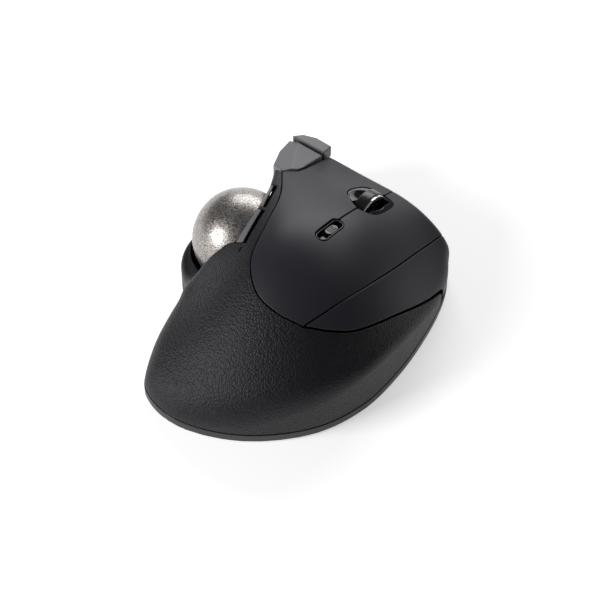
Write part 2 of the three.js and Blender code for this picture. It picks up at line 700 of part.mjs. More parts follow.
const FLOOR_TOP = FLOOR_LOW + FLOOR_WALL;
const CELL = new THREE.Vector3(5 * SX, -33.3 * SY, 10.6);
const CELL_REAR = CELL.y - CELL_LENGTH / 2;
const CELL_FRONT = CELL.y + CELL_LENGTH / 2;
const DOOR_X = [CELL.x - 10.6, CELL.x + 10.6];
const DOOR_FRONT = CELL_FRONT + 3;
const POWER = { at: place(24, 8), travel: 4, size: [3.6, 3.4] };
const PAIRING = { at: place(33, 1), radius: 2 };
const FEET = [
  { at: place(-23, 59.5), reach: 14, across: true },
  { at: place(21, 59.5), reach: 14, across: true },
  { at: place(-53, 8), reach: 12, across: false },
  { at: place(-22, -58), reach: 8, across: true },
  { at: place(40, -6), reach: 14, across: false },
  { at: place(27, -44), reach: 6, across: false },
];
const FOOT_RADIUS = 3.2;

function footOutline({ at, reach, across }, extra) {
  const points = stadium(0, 0, reach, FOOT_RADIUS + extra, 6);
  return points.map(([x, y]) => (across ? [at[0] + y, at[1] - x] : [at[0] + x, at[1] + y]));
}

let bottom = outer.intersect(slice(FLOOR_LOW, CASE_TOP)).subtract(inner.intersect(slice(FLOOR_TOP, TALL)));
for (const { at } of SCREWS) bottom = bottom.add(drum(at[0], at[1], FLOOR_LOW, PAD_TOP, POST_WIDE + 1));
const wallLow = FLOOR_TOP + FIT;
const within = bodySolid(SHELL_WALL + 0.4);
for (const y of [CELL_REAR - 3.6, CELL_FRONT + 1.4]) {
  const wall = block([DOOR_X[0] - 4, DOOR_X[1] + 4], [y, y + 1.8], [wallLow, CELL.z + 5]);
  bottom = bottom.add(wall.intersect(within));
  for (const x of [DOOR_X[0] - 4, DOOR_X[1] + 1]) {
    bottom = bottom.add(block([x, x + 3], [y, y + 1.8], [1.5, wallLow + 1]).intersect(within));
  }
}
bottom = bottom.subtract(block([DOOR_X[0] - FIT, DOOR_X[1] + FIT], [-90 * SY, DOOR_FRONT + FIT], [0, wallLow]));
for (const { at } of SCREWS) {
  bottom = bottom.subtract(drum(at[0], at[1], 0, 9, POST_BORE + 0.1));
  bottom = bottom.subtract(drum(at[0], at[1], 0, FLOOR_LOW + 1.8, HEAD_RADIUS + FIT));
}
for (const foot of FEET) bottom = bottom.subtract(prism(footOutline(foot, FIT), 0, FLOOR_LOW + FOOT_SEAT + FIT));
bottom = bottom.subtract(cupSweep).subtract(drum(BALL.x, BALL.y, 0, 9, PUSH_HOLE_RADIUS * 2));
const [powerX, powerY] = POWER.at;
bottom = bottom.subtract(block([powerX - 4.4, powerX + 4.4], [powerY - 2.6, powerY + 2.6], [0, FLOOR_LOW + 1]));
bottom = bottom.subtract(block([powerX - 3.6, powerX + 3.6], [powerY - 0.9, powerY + 0.9], [0, 9]));
bottom = bottom.subtract(drum(PAIRING.at[0], PAIRING.at[1], 0, 9, PAIRING.radius + FIT));
const [labelX, labelY] = place(-6, 32);
bottom = bottom.subtract(block([labelX - 17, labelX + 17], [labelY - 9, labelY + 9], [0, FLOOR_LOW + 0.3]));
add('bottom_case', bottom, 'nylon');

for (const [i, foot] of FEET.entries()) {
  add(`foot_${i + 1}`, prism(footOutline(foot, 0), FLOOR_LOW - FOOT_PROUD, FLOOR_LOW + FOOT_SEAT), 'glide');
}
for (const [i, { at }] of SCREWS.entries()) {
  const head = drum(at[0], at[1], FLOOR_LOW + 0.3, FLOOR_LOW + 1.5, HEAD_RADIUS);
  const shank = drum(at[0], at[1], FLOOR_LOW + 1, SCREW_TOP, SCREW_RADIUS, 12);
  const drive = [0, 1].map((turn) => block(
    turn ? [at[0] - 1.4, at[0] + 1.4] : [at[0] - 0.3, at[0] + 0.3],
    turn ? [at[1] - 0.3, at[1] + 0.3] : [at[1] - 1.4, at[1] + 1.4],
    [0, FLOOR_LOW + 0.9],
  ));
  add(`screw_${i + 1}`, head.add(shank).subtract(drive[0]).subtract(drive[1]), 'steel');
}

// door under the cell: it slides back and out under the rear edge
const door = outer.intersect(block(DOOR_X, [-90 * SY, DOOR_FRONT], [FLOOR_LOW, FLOOR_LOW + DOOR_WALL]));
const grips = [0, 1, 2, 3].map((i) => block(
  [CELL.x - 5, CELL.x + 5], [CELL_REAR + 2 + i * 2, CELL_REAR + 3 + i * 2], [0, FLOOR_LOW + 0.4],
));
add('battery_door', grips.reduce((solid, grip) => solid.subtract(grip), door), 'nylon');

// ---- power slider, pairing button ----------------------------------------------------------------------

const REST = POWER.travel / 2;
const slider = block(
  [powerX - REST - POWER.size[0] / 2 + 0.1, powerX - REST + POWER.size[0] / 2 - 0.5],
  [powerY - POWER.size[1] / 2, powerY + POWER.size[1] / 2], [FLOOR_LOW + 0.1, FLOOR_LOW + 0.7],
).add(block(
  [powerX - REST - 1, powerX - REST + 0.6], [powerY - 0.6, powerY + 0.6], [FLOOR_LOW + 0.5, 6],
));
add('power_slider', slider, 'glide');
add('pairing_button', drum(PAIRING.at[0], PAIRING.at[1], FLOOR_LOW + 0.3, 6, PAIRING.radius, 16), 'rubber');

// ---- boards, frame and switches ------------------------------------------------------------------------

const BOARD_LOW = 8;
const BOARD = scaled([[-14, 57], [30, 57], [38, 46], [43, 20], [42, -3.8], [-10, -3.8], [-13, 20]]);
const LEGS = [place(34, 12), place(-3, 4.8)];
let board = prism(BOARD, BOARD_LOW, BOARD_LOW + BOARD_WALL);
for (const [x, y] of [...SCREWS.map(({ at }) => at), ...LEGS]) {
  board = board.subtract(drum(x, y, 0, 20, POST_WIDE + FIT, 16));
}
add('main_board', board, 'board');
const BOARD_TOP = BOARD_LOW + BOARD_WALL + FIT;
const [chipX, chipY] = place(14, 12);
add('controller_chip', block([chipX - 4, chipX + 4], [chipY - 4, chipY + 4], [BOARD_TOP, BOARD_TOP + 1]), 'rubber');
const [powerPartX, powerPartY] = POWER.at;
add('power_switch_body', block(
  [powerPartX - 4, powerPartX + 4], [powerPartY - 2, powerPartY + 2], [6 + FIT, BOARD_LOW - FIT],
), 'steel');

const FRAME = scaled([
  [-43, 46], [-45, 61.5], [24, 61], [29, 50], [37, 26], [37, 6], [14, 1.5], [-10.6, 1.5], [-10.6, 22], [-26, 34.5],
]);
const WELL = { x: [WHEEL.x - 13, WHEEL.x + 13], y: [WHEEL.y - 14, WHEEL.y + 13.6] };
const PIVOT_Z = FRAME_TOP + 2;
let frame = prism(FRAME, FRAME_TOP - FRAME_WALL, FRAME_TOP).intersect(within).subtract(block(WELL.x, WELL.y, [0, TALL]));
for (const [x, y] of [...SCREWS.filter(({ holder }) => holder === 'frame').map(({ at }) => at), ...LEGS]) {
  frame = frame.add(drum(x, y, POST_LOW, FRAME_TOP - 1, POST_WIDE - 0.2, 16));
}
for (const { at } of SCREWS) frame = frame.subtract(drum(at[0], at[1], 0, SCREW_TOP + FIT, POST_BORE, 12));
for (const y of [WELL.y[0] - 1.6, WELL.y[1] + 0.1]) {
  frame = frame.add(block([WHEEL.x - 4, WHEEL.x + 4], [y, y + 1.5], [FRAME_TOP - 1, PIVOT_Z + 2.6]));
}
frame = frame.subtract(rod(
  new THREE.Vector3(WHEEL.x, WELL.y[0] - 5, PIVOT_Z), new THREE.Vector3(WHEEL.x, WELL.y[1] + 5, PIVOT_Z), 1.5, 16,
));
const UPRIGHT_X = -10.5 * SX;
frame = frame.add(block([UPRIGHT_X, UPRIGHT_X + 1.5], [3 * SY, 21 * SY], [FRAME_TOP - 1, 47 * SZ]));
add('switch_frame', frame, 'nylon');

for (const [key, { at, size }] of Object.entries(SWITCHES)) {
  const [x, y] = at;
  const top = SWITCH_LOW + size[2];
  const body = block([x - size[0] / 2, x + size[0] / 2], [y - size[1] / 2, y + size[1] / 2], [SWITCH_LOW, top]);
  add(`${key}_switch`, body.add(drum(x, y, top - 0.5, top + PLUNGER, 1.1, 12)), 'steel');
}
const sideTop = 48 * SZ;
const sideX = UPRIGHT_X - FIT;
add('side_board', block([sideX - 1.2, sideX], [-4 * SY, 25 * SY], [sideTop - 8, sideTop]), 'board');
for (const { name, stem } of BLADES) {
  const middle = (STEM.low + STEM.high) / 2;
  const face = sideX - 1.2 - FIT;
  const tip = STEM_TIP + CLICK_TRAVEL + 0.2;
  const body = block([tip + 0.7, face], [stem - 2.5, stem + 2.5], [middle - 4, middle + 1]);
  const plunger = rod(new THREE.Vector3(tip, stem, middle), new THREE.Vector3(face - 1, stem, middle), 0.8, 12);
  add(`${name.replace('_button', '')}_switch`, body.add(plunger), 'steel');
}

const guideTop = drum(GUIDE.x, GUIDE.y, GUIDE.arm - GUIDE.radius, TALL, GUIDE.radius, 12).intersect(hidden);
const guideArm = rod(
  new THREE.Vector3(GUIDE.x, GUIDE.y, GUIDE.arm), new THREE.Vector3(sideX - 2, GUIDE.y + 4, GUIDE.arm), GUIDE.radius, 12,
);
add('light_guide', guideTop.add(guideArm), 'clear');

// ---- cell and its contacts -----------------------------------------------------------------------------

const cellBody = rod(
  new THREE.Vector3(CELL.x, CELL_REAR, CELL.z), new THREE.Vector3(CELL.x, CELL_FRONT - 1.2, CELL.z), CELL_RADIUS, 28,
);
const cellTip = rod(
  new THREE.Vector3(CELL.x, CELL_FRONT - 2, CELL.z), new THREE.Vector3(CELL.x, CELL_FRONT, CELL.z), 2.6, 16,
);
add('cell', cellBody.add(cellTip), 'cell');
add('contact_plate', block(
  [CELL.x - 5, CELL.x + 5], [CELL_FRONT + FIT, CELL_FRONT + FIT + 0.6], [CELL.z - 4, CELL.z + 4],
), 'steel');

class ContactCoil extends THREE.Curve {
  getPoint(t, target = new THREE.Vector3()) {
    const angle = t * 3 * 2 * Math.PI;
    const radius = 4 - 2 * t;
    const y = CELL_REAR - 1.4 + 0.9 * t;
    return target.set(CELL.x + radius * Math.cos(angle), y, CELL.z + radius * Math.sin(angle));
  }
}
const wire = new THREE.Shape(stadium(0, 0, 0, 0.2, 3).map(([x, y]) => new THREE.Vector2(x, y)));
const coil = new THREE.ExtrudeGeometry(wire, { steps: 33, extrudePath: new ContactCoil(), bevelEnabled: false });
add('contact_spring', toSolid(coil), 'steel');

// ---- scroll wheel --------------------------------------------------------------------------------------

const half = WHEEL_WIDTH / 2;
const TYRE_INNER = WHEEL_RADIUS - TYRE_DEPTH;
const barrel = [
  [-half, TYRE_INNER], [-half, WHEEL_RADIUS - 1], [-half * 0.6, WHEEL_RADIUS - 0.25], [0, WHEEL_RADIUS],
  [half * 0.6, WHEEL_RADIUS - 0.25], [half - RING_WIDTH - FIT, WHEEL_RADIUS - 1], [half - RING_WIDTH - FIT, TYRE_INNER],
];
barrel.push(barrel[0]);
add('wheel_tyre', turned(barrel, WHEEL, 32), 'rubber');
const ringStart = half - RING_WIDTH;
const ringOuter = WHEEL_RADIUS - 0.9;
const ringProfile = [[ringStart, TYRE_INNER], [ringStart, ringOuter - 0.2], [ringStart + 0.25, ringOuter], [half, ringOuter],
  [half, TYRE_INNER], [ringStart, TYRE_INNER]];
add('wheel_ring', turned(ringProfile, WHEEL, 32), 'chrome');
const hubOuter = TYRE_INNER - FIT;
const hubInner = AXLE_RADIUS + FIT;
const hubProfile = [
  [-half, hubInner], [-half, 3], [-1, 3], [-1, hubOuter - 1.6], [-half, hubOuter - 1.6], [-half, hubOuter],
  [half, hubOuter], [half, hubOuter - 1.6], [1, hubOuter - 1.6], [1, 3], [half, 3], [half, hubInner],
];
hubProfile.push(hubProfile[0]);
let hub = turned(hubProfile, WHEEL, 24);
for (let i = 0; i < 8; i++) {
  const angle = ((i + 0.5) / 8) * 2 * Math.PI;
  const y = WHEEL.y + 4.9 * Math.cos(angle);
  const z = WHEEL.z + 4.9 * Math.sin(angle);
  hub = hub.subtract(rod(new THREE.Vector3(WHEEL.x - 2, y, z), new THREE.Vector3(WHEEL.x + 2, y, z), 1, 6));
}
add('wheel_hub', hub, 'nylon');
const SIDE_PLATE = { near: half + 1.1, far: half + 2.5 };
add('wheel_axle', rod(
  new THREE.Vector3(WHEEL.x - SIDE_PLATE.far, WHEEL.y, WHEEL.z),
  new THREE.Vector3(WHEEL.x + SIDE_PLATE.far, WHEEL.y, WHEEL.z), AXLE_RADIUS, 16,
), 'steel');

// carriage that carries the axle and moves down when the wheel is pressed
const CARRIAGE_LOW = WHEEL.z - WHEEL_RADIUS - 5.5;
const carriageX = [WHEEL.x - SIDE_PLATE.far, WHEEL.x + SIDE_PLATE.far];
let carriage = block(carriageX, [WHEEL.y - 5, WHEEL.y + 8], [CARRIAGE_LOW, CARRIAGE_LOW + 1.5]);
for (const side of [-1, 1]) {
  const near = WHEEL.x + side * SIDE_PLATE.near;
  const far = WHEEL.x + side * SIDE_PLATE.far;
  const x = [Math.min(near, far), Math.max(near, far)];
  carriage = carriage.add(block(x, [WHEEL.y - 2.2, WHEEL.y + 2.2], [CARRIAGE_LOW, WHEEL.z]));
  carriage = carriage.add(rod(
    new THREE.Vector3(x[0], WHEEL.y, WHEEL.z), new THREE.Vector3(x[1], WHEEL.y, WHEEL.z), 2.2, 16,
  ));
}
carriage = carriage.subtract(rod(
  new THREE.Vector3(WHEEL.x - 20, WHEEL.y, WHEEL.z), new THREE.Vector3(WHEEL.x + 20, WHEEL.y, WHEEL.z),
  AXLE_RADIUS + FIT, 16,
));
add('wheel_carriage', carriage, 'nylon');
for (const [name, side] of [['encoder_emitter', -1], ['encoder_receiver', 1]]) {
  const near = WHEEL.x + side * (SIDE_PLATE.near - 0.3);
  const far = WHEEL.x + side * (SIDE_PLATE.near + 1.1);
  add(name, block(
    [Math.min(near, far), Math.max(near, far)], [WHEEL.y + 4.2, WHEEL.y + 7],
    [CARRIAGE_LOW + 1.5 + FIT, WHEEL.z - 2.5],
  ), 'rubber');
}

// cradle around the carriage; it tilts sideways on two pins
const cradleX = carriageX[1] - WHEEL.x + FIT;
const cradleY = [WELL.y[0] + 1.5, WELL.y[1] - 1.5];
let cradle = block([WHEEL.x - cradleX - 2, WHEEL.x + cradleX + 2], cradleY, [PIVOT_Z - 1.6, PIVOT_Z + 1.4]);
cradle = cradle.subtract(block(
  [WHEEL.x - cradleX, WHEEL.x + cradleX], [WHEEL.y - 11.3, WHEEL.y + 10.9], [0, TALL],
));
for (const [from, to] of [[WELL.y[0] - 1.4, cradleY[0] + 0.5], [cradleY[1] - 0.5, WELL.y[1] + 1.4]]) {
  cradle = cradle.add(rod(new THREE.Vector3(WHEEL.x, from, PIVOT_Z), new THREE.Vector3(WHEEL.x, to, PIVOT_Z), 1.2, 16));
}
add('tilt_cradle', cradle, 'nylon');

const clickTop = CARRIAGE_LOW - CLICK_TRAVEL - 0.3;
const click = block(
  [WHEEL.x - 3, WHEEL.x + 3], [WHEEL.y - 3, WHEEL.y + 3], [BOARD_TOP, clickTop - PLUNGER],
);
add('wheel_switch', click.add(drum(WHEEL.x, WHEEL.y, clickTop - PLUNGER - 0.5, clickTop, 1.1, 12)), 'steel');

// glossy bowl around the wheel
const dish = new THREE.SphereGeometry(1, 24, 12);
dish.scale(8.1, 9, 3.2);
dish.rotateX(Math.atan((crown(WHEEL.x, WHEEL.y + 5) - crown(WHEEL.x, WHEEL.y - 5)) / 10));
const dishY = WHEEL.y + 2.4;
dish.translate(WHEEL.x - 0.8, dishY, crown(WHEEL.x, dishY) + 0.2);
const wheelRoom = rod(
  new THREE.Vector3(WHEEL.x - half - TILT_ROOM, WHEEL.y, WHEEL.z),
  new THREE.Vector3(WHEEL.x + half + TILT_ROOM, WHEEL.y, WHEEL.z), WHEEL_RADIUS + 0.9, 32,
);
const bossRoom = rod(
  new THREE.Vector3(WHEEL.x - SIDE_PLATE.far - 1, WHEEL.y, WHEEL.z),
  new THREE.Vector3(WHEEL.x + SIDE_PLATE.far + 1, WHEEL.y, WHEEL.z), 3.8, 16,
);
const bowl = prism(grow(OPENING, -FIT), 0, TALL).intersect(bodySolid(0.4)).subtract(bodySolid(3.7))
  .intersect(block([-90, 90], [WHEEL.y - 5, 90], [30 * SZ, TALL]));
add('wheel_bowl', bowl.subtract(toSolid(dish)).subtract(wheelRoom).subtract(bossRoom), 'gloss');

// ---- mode switch ---------------------------------------------------------------------------------------

const linerRadius = MODE_RADIUS - FIT;
const liner = atMode(stadium(0, 0, MODE_REACH, linerRadius), -MODE_DEPTH, -0.4)
  .subtract(atMode(stadium(0, 0, MODE_REACH, linerRadius - 0.6), -MODE_DEPTH + 0.8, 5))
  .subtract(atMode(stadium(0, 0.9, 6.4, 0.8), -9, 5));
add('mode_switch_recess', liner, 'gloss');
const modeFloor = -MODE_DEPTH + 0.8 + FIT;
const knobLow = modeFloor + 0.6;
let knob = atMode(stadium(0, 1.4, 3.6, linerRadius - 0.6 - FIT), knobLow, -0.9);
for (const y of [0.6, 2.2]) {
  knob = knob.add(atMode([[-1.5, y - 0.25], [1.5, y - 0.25], [1.5, y + 0.25], [-1.5, y + 0.25]], -1.1, -0.4));
}
knob = knob.add(atMode(stadium(0, 1.4, 1, 0.5), -MODE_DEPTH - 1.5, knobLow + 0.3));
add('mode_slider', knob, 'gloss');
add('mode_window', atMode(stadium(0, -4.4, 0, 1.1), modeFloor, modeFloor + 0.3), 'clear');

// ---- the origin is under the middle of the whole mouse -------------------------------------------------

const whole = new THREE.Box3().setFromObject(mouse);
mouse.position.set(-(whole.min.x + whole.max.x) / 2, -(whole.min.y + whole.max.y) / 2, -whole.min.z);

export default mouse;
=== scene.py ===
"""Looks of a right-hand thumb trackball mouse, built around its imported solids.

Shapes are worked out in millimetres in the mouse's own axes: +Z up, +Y to the front edge under the
fingertips, +X to the ring finger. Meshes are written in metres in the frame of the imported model.
"""

from __future__ import annotations

import json
import logging
import math
from collections.abc import Callable
from dataclasses import dataclass, field
from enum import Enum

import bmesh
import bpy
import numpy as np
from mathutils import Matrix, Vector

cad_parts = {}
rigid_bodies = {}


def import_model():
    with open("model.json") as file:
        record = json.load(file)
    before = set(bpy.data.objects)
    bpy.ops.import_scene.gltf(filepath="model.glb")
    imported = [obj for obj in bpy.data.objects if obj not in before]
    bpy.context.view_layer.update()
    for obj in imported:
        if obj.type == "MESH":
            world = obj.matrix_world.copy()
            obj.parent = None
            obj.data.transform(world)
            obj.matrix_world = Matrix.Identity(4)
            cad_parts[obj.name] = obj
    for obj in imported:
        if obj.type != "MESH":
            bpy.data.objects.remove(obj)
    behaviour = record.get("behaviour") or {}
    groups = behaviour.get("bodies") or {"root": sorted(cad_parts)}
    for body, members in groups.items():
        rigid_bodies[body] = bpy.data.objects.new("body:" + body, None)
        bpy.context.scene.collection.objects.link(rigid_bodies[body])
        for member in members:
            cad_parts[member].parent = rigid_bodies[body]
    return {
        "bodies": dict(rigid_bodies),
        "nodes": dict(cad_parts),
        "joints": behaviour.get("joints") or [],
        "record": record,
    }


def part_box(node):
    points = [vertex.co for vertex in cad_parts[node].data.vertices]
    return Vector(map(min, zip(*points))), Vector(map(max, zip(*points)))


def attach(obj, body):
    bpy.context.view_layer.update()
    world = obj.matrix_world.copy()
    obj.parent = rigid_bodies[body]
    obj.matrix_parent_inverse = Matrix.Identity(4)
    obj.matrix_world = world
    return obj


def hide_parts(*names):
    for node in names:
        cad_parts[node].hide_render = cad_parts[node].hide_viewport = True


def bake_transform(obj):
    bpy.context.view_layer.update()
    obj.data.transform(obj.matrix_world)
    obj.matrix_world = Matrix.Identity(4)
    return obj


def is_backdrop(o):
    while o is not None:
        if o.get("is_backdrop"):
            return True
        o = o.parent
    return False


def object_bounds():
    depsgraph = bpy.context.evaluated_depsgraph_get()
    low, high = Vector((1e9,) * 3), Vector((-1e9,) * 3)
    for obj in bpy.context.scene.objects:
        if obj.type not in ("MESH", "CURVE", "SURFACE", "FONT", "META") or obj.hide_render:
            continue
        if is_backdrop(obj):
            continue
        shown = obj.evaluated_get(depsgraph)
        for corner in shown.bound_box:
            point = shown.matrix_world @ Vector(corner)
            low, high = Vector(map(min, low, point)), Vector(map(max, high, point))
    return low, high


LOG = logging.getLogger("trackball_mouse")
Array = np.ndarray
Distance = Callable[[Array], Array]


class Body(str, Enum):
    """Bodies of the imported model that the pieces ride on."""

    CASE = "case"
    LEFT = "left_button"
    RIGHT = "right_button"
    RING = "ring_finger_button"
    REAR_KEY = "rear_function_key"
    FRONT_KEY = "front_function_key"
    FORWARD = "forward_button"
    BACK = "back_button"
    BALL = "ball"
    WHEEL = "wheel"
    MODE = "mode_slider"


# ---- curves and distances ----------------------------------------------------------------------


def smooth_curve(points: list[tuple[float, float]], steps: int, closed: bool) -> Array:
    """Catmull-Rom curve through plan points.

    Args:
        points: corner points in plan.
        steps: samples in each span.
        closed: whether the last point joins the first.

    Returns:
        Array of sampled points, one row each.
    """
    p = np.array(points, float)
    if closed:
        ring = np.vstack([p[-1:], p, p[:2]])
        spans = len(p)
    else:
        ring = np.vstack([2 * p[:1] - p[1:2], p, 2 * p[-1:] - p[-2:-1]])
        spans = len(p) - 1
    out = []
    for i in range(spans):
        a, b, c, d = ring[i : i + 4]
        for t in np.arange(steps) / steps:
            square = (2 * a - 5 * b + 4 * c - d) * t * t
            cube = (3 * b - a - 3 * c + d) * t**3
            out.append(0.5 * (2 * b + (c - a) * t + square + cube))
    if not closed:
        out.append(p[-1])
    return np.array(out)


def outline_distance(outline: Array, x: Array, y: Array) -> Array:
    """Signed plan distance to a closed outline, negative inside.

    Args:
        outline: closed outline, one row per point.
        x: plan x of the points asked for.
        y: plan y of the points asked for.

    Returns:
        Distance for each point.
    """
    nearest = np.full(x.shape, 1e18)
    inside = np.zeros(x.shape, bool)
    for (ax, ay), (bx, by) in zip(outline, np.roll(outline, -1, 0)):
        ex, ey = bx - ax, by - ay
        t = np.clip(((x - ax) * ex + (y - ay) * ey) / (ex * ex + ey * ey + 1e-12), 0, 1)
        nearest = np.minimum(nearest, (x - ax - ex * t) ** 2 + (y - ay - ey * t) ** 2)
        if ay != by:
            crosses = (by > y) != (ay > y)
            inside ^= crosses & (x < (ax - bx) * (y - by) / (ay - by) + bx)
    return np.where(inside, -1, 1) * np.sqrt(nearest)


def smooth_max(a: Array, b: Array, reach: Array | float) -> Array:
    """Larger of two fields, rounded where they are close to each other.

    Args:
        a: first field.
        b: second field.
        reach: difference below which the larger is rounded.

    Returns:
        The rounded larger field.
    """
    h = np.maximum(reach - np.abs(a - b), 0) / reach
    return np.maximum(a, b) + h * h * reach / 4


def stadium(cx: float, cy: float, reach: float, radius: float, sides: int = 16) -> Array:
    """Outline with two round ends, long along y.

    Args:
        cx: x of its middle.
        cy: y of its middle.
        reach: distance between the centres of its ends.
        radius: radius of its ends.
        sides: segments in each end.

    Returns:
        Points of the outline.
    """
    points = []
    for end in (1, -1):
        for i in range(sides + 1):
            angle = i / sides * math.pi + (0 if end > 0 else math.pi)
            points.append((cx + radius * math.cos(angle), cy + end * reach / 2 + radius * math.sin(angle)))
    return np.array(points)


# ---- the skin ----------------------------------------------------------------------------------

BALL = np.array([-36.6, 9.6, 26.5])
BALL_RADIUS = 22.0
LIFT = np.array([-0.85, -0.05, 0.53]) / np.linalg.norm([-0.85, -0.05, 0.53])
HEART = np.array([4.0, 0.0, 12.0])

# Radii round the ball's centre, or round the line along which it lifts out, largest first.
CUP_OPENING = 24.1
PALM_KEEP_OUT = 23.9
CUP_RADIUS = 23.2
LINER_LIFT_ROOM = 22.9
BLADE_LIFT_ROOM = 22.7
BLADE_KEEP_OUT = 22.4
LINER_KEEP_OUT = 22.35

# How far the wheel's left face lies from its middle, the angle in degrees above which an edge of a
# turned or lofted piece stays sharp, and the height at which the function keys' caps end.
WHEEL_SHIFT = 3.0
ROUND_PIECE_SHARP = 40
KEY_FOOT = 31.0


@dataclass
class Skin:
    """The free-form outside of the mouse as a smooth field, negative inside."""

    hand: list[tuple[float, float]] = field(
        default_factory=lambda: [
            (-50, 63), (-30, 66.5), (0, 67), (31, 66.3), (38.5, 60),
            (44, 49.5), (48.5, 31), (51, 6), (49, -19), (38.5, -42),
            (17, -62), (-9, -72), (-29, -68), (-37, -54), (-40, -36),
            (-39, -19), (-35, -6), (-31, 9), (-34, 25), (-43, 43),
        ]
    )
    crown_rows: list[list[float]] = field(
        default_factory=lambda: [
            [6, 6, 8, 8, 6, 4],
            [6, 18, 33, 32, 22, 10],
            [8, 26, 50, 50, 39, 14],
            [22, 42, 62, 59, 49, 16],
            [38, 50, 57, 55, 40, 10],
            [41, 45, 48, 47, 29, -6],
            [30, 31, 28, 32, 21, -12],
        ]
    )
    heart: Array = field(default_factory=lambda: HEART)
    step: float = 1.0
    low: tuple[float, float] = (-76.0, -90.0)
    high: tuple[float, float] = (74.0, 86.0)

    def __post_init__(self) -> None:
        """Tabulates the distance to the hand outline on a fine plan grid."""
        outline = smooth_curve(self.hand, 20, True)
        xs = np.arange(self.low[0], self.high[0] + self.step, self.step)
        ys = np.arange(self.low[1], self.high[1] + self.step, self.step)
        gx, gy = np.meshgrid(xs, ys, indexing="ij")
        self.table = outline_distance(outline, gx, gy)

    def outline(self, x: Array, y: Array) -> Array:
        """Distance to the hand outline, read smoothly from the table."""
        u = np.clip((x - self.low[0]) / self.step, 1, self.table.shape[0] - 3.001)
        v = np.clip((y - self.low[1]) / self.step, 1, self.table.shape[1] - 3.001)
        i, j = u.astype(int), v.astype(int)
        total = np.zeros(x.shape)
        for p, wu in enumerate(self._cardinal(u - i)):
            for q, wv in enumerate(self._cardinal(v - j)):
                total += wu * wv * self.table[i + p - 1, j + q - 1]
        return total

    @staticmethod
    def _cardinal(t: Array) -> list[Array]:
        """Weights of four neighbours for a smooth read at share t."""
        return [
            -0.5 * t + t * t - 0.5 * t**3,
            1 - 2.5 * t * t + 1.5 * t**3,
            0.5 * t + 2 * t * t - 1.5 * t**3,
            0.5 * (t**3 - t * t),
        ]

    @staticmethod
    def _spline(t: Array) -> list[Array]:
        """Weights of four control heights for a cubic B-spline at share t."""
        s = 1 - t
        return [s**3 / 6, (3 * t**3 - 6 * t**2 + 4) / 6, (-3 * t**3 + 3 * t**2 + 3 * t + 1) / 6, t**3 / 6]

    def crown(self, x: Array, y: Array) -> Array:
        """Height of the crown surface over plan points."""
        heights = np.array(self.crown_rows, float)
        rows, columns = heights.shape
        u = np.clip((np.asarray(x, float) + 60) / 24, 0, columns - 1.000001)
        v = np.clip((np.asarray(y, float) + 76) / 24, 0, rows - 1.000001)
        i, j = np.floor(u).astype(int), np.floor(v).astype(int)
        total = np.zeros(np.shape(u))
        for q, across in enumerate(self._spline(u - i)):
            for p, along in enumerate(self._spline(v - j)):
                row = np.clip(j + p - 1, 0, rows - 1)
                column = np.clip(i + q - 1, 0, columns - 1)
                total += along * across * heights[row, column]
        return total

    def field(self, p: Array) -> Array:
        """Signed field at points, close to the distance in millimetres."""
        x, y, z = p[..., 0], p[..., 1], p[..., 2]
        tuck = 0.0105 * np.maximum(10 - z, 0) ** 1.5
        side = self.outline(x, y) + tuck
        top = (z - self.crown(x, y)) * 0.85
        hand = smooth_max(side, top, np.clip(3 + (-y - 20) * 0.15, 2.5, 9))
        ax, ay, dx, dy = BALL[0] + 1.6, BALL[1] - 6.8, -1.0, 7.7
        t = np.clip(((x - ax) * dx + (y - ay) * dy) / (dx * dx + dy * dy), 0, 1)
        around = np.hypot(x - ax - t * dx, y - ay - t * dy) - 24.3 + tuck
        lobe = smooth_max(around, z - 19.5, 4)
        return -smooth_max(-hand, -lobe, 12)

    def normal(self, p: Array, h: float = 0.3) -> Array:
        """Outward unit normals of the field at points."""
        n = np.empty_like(p)
        for k in range(3):
            d = np.zeros(3)
            d[k] = h
            n[..., k] = self.field(p + d) - self.field(p - d)
        return n / (np.linalg.norm(n, axis=-1, keepdims=True) + 1e-12)

    def project(self, rays: Array) -> Array:
        """Points where rays from the heart of the shape leave it."""
        low = np.zeros(len(rays))
        high = np.full(len(rays), 125.0)
        for _ in range(11):
            middle = (low + high) / 2
            inside = self.field(self.heart + rays * middle[:, None]) < 0
            low, high = np.where(inside, middle, low), np.where(inside, high, middle)
        r = (low + high) / 2
        for _ in range(4):
            f = self.field(self.heart + rays * r[:, None])
            g = self.field(self.heart + rays * (r + 0.02)[:, None])
            r = r - np.clip(f / np.maximum((g - f) / 0.02, 0.15), -0.3, 0.3)
        return self.heart + rays * r[:, None]

    def top(self, x: Array, y: Array) -> Array:
        """Height of the skin over plan points that lie under the crown."""
        z = self.crown(x, y) + 1.0
        for _ in range(12):
            f = self.field(np.stack([x, y, z], -1))
            z = z - f / 0.85
        return z

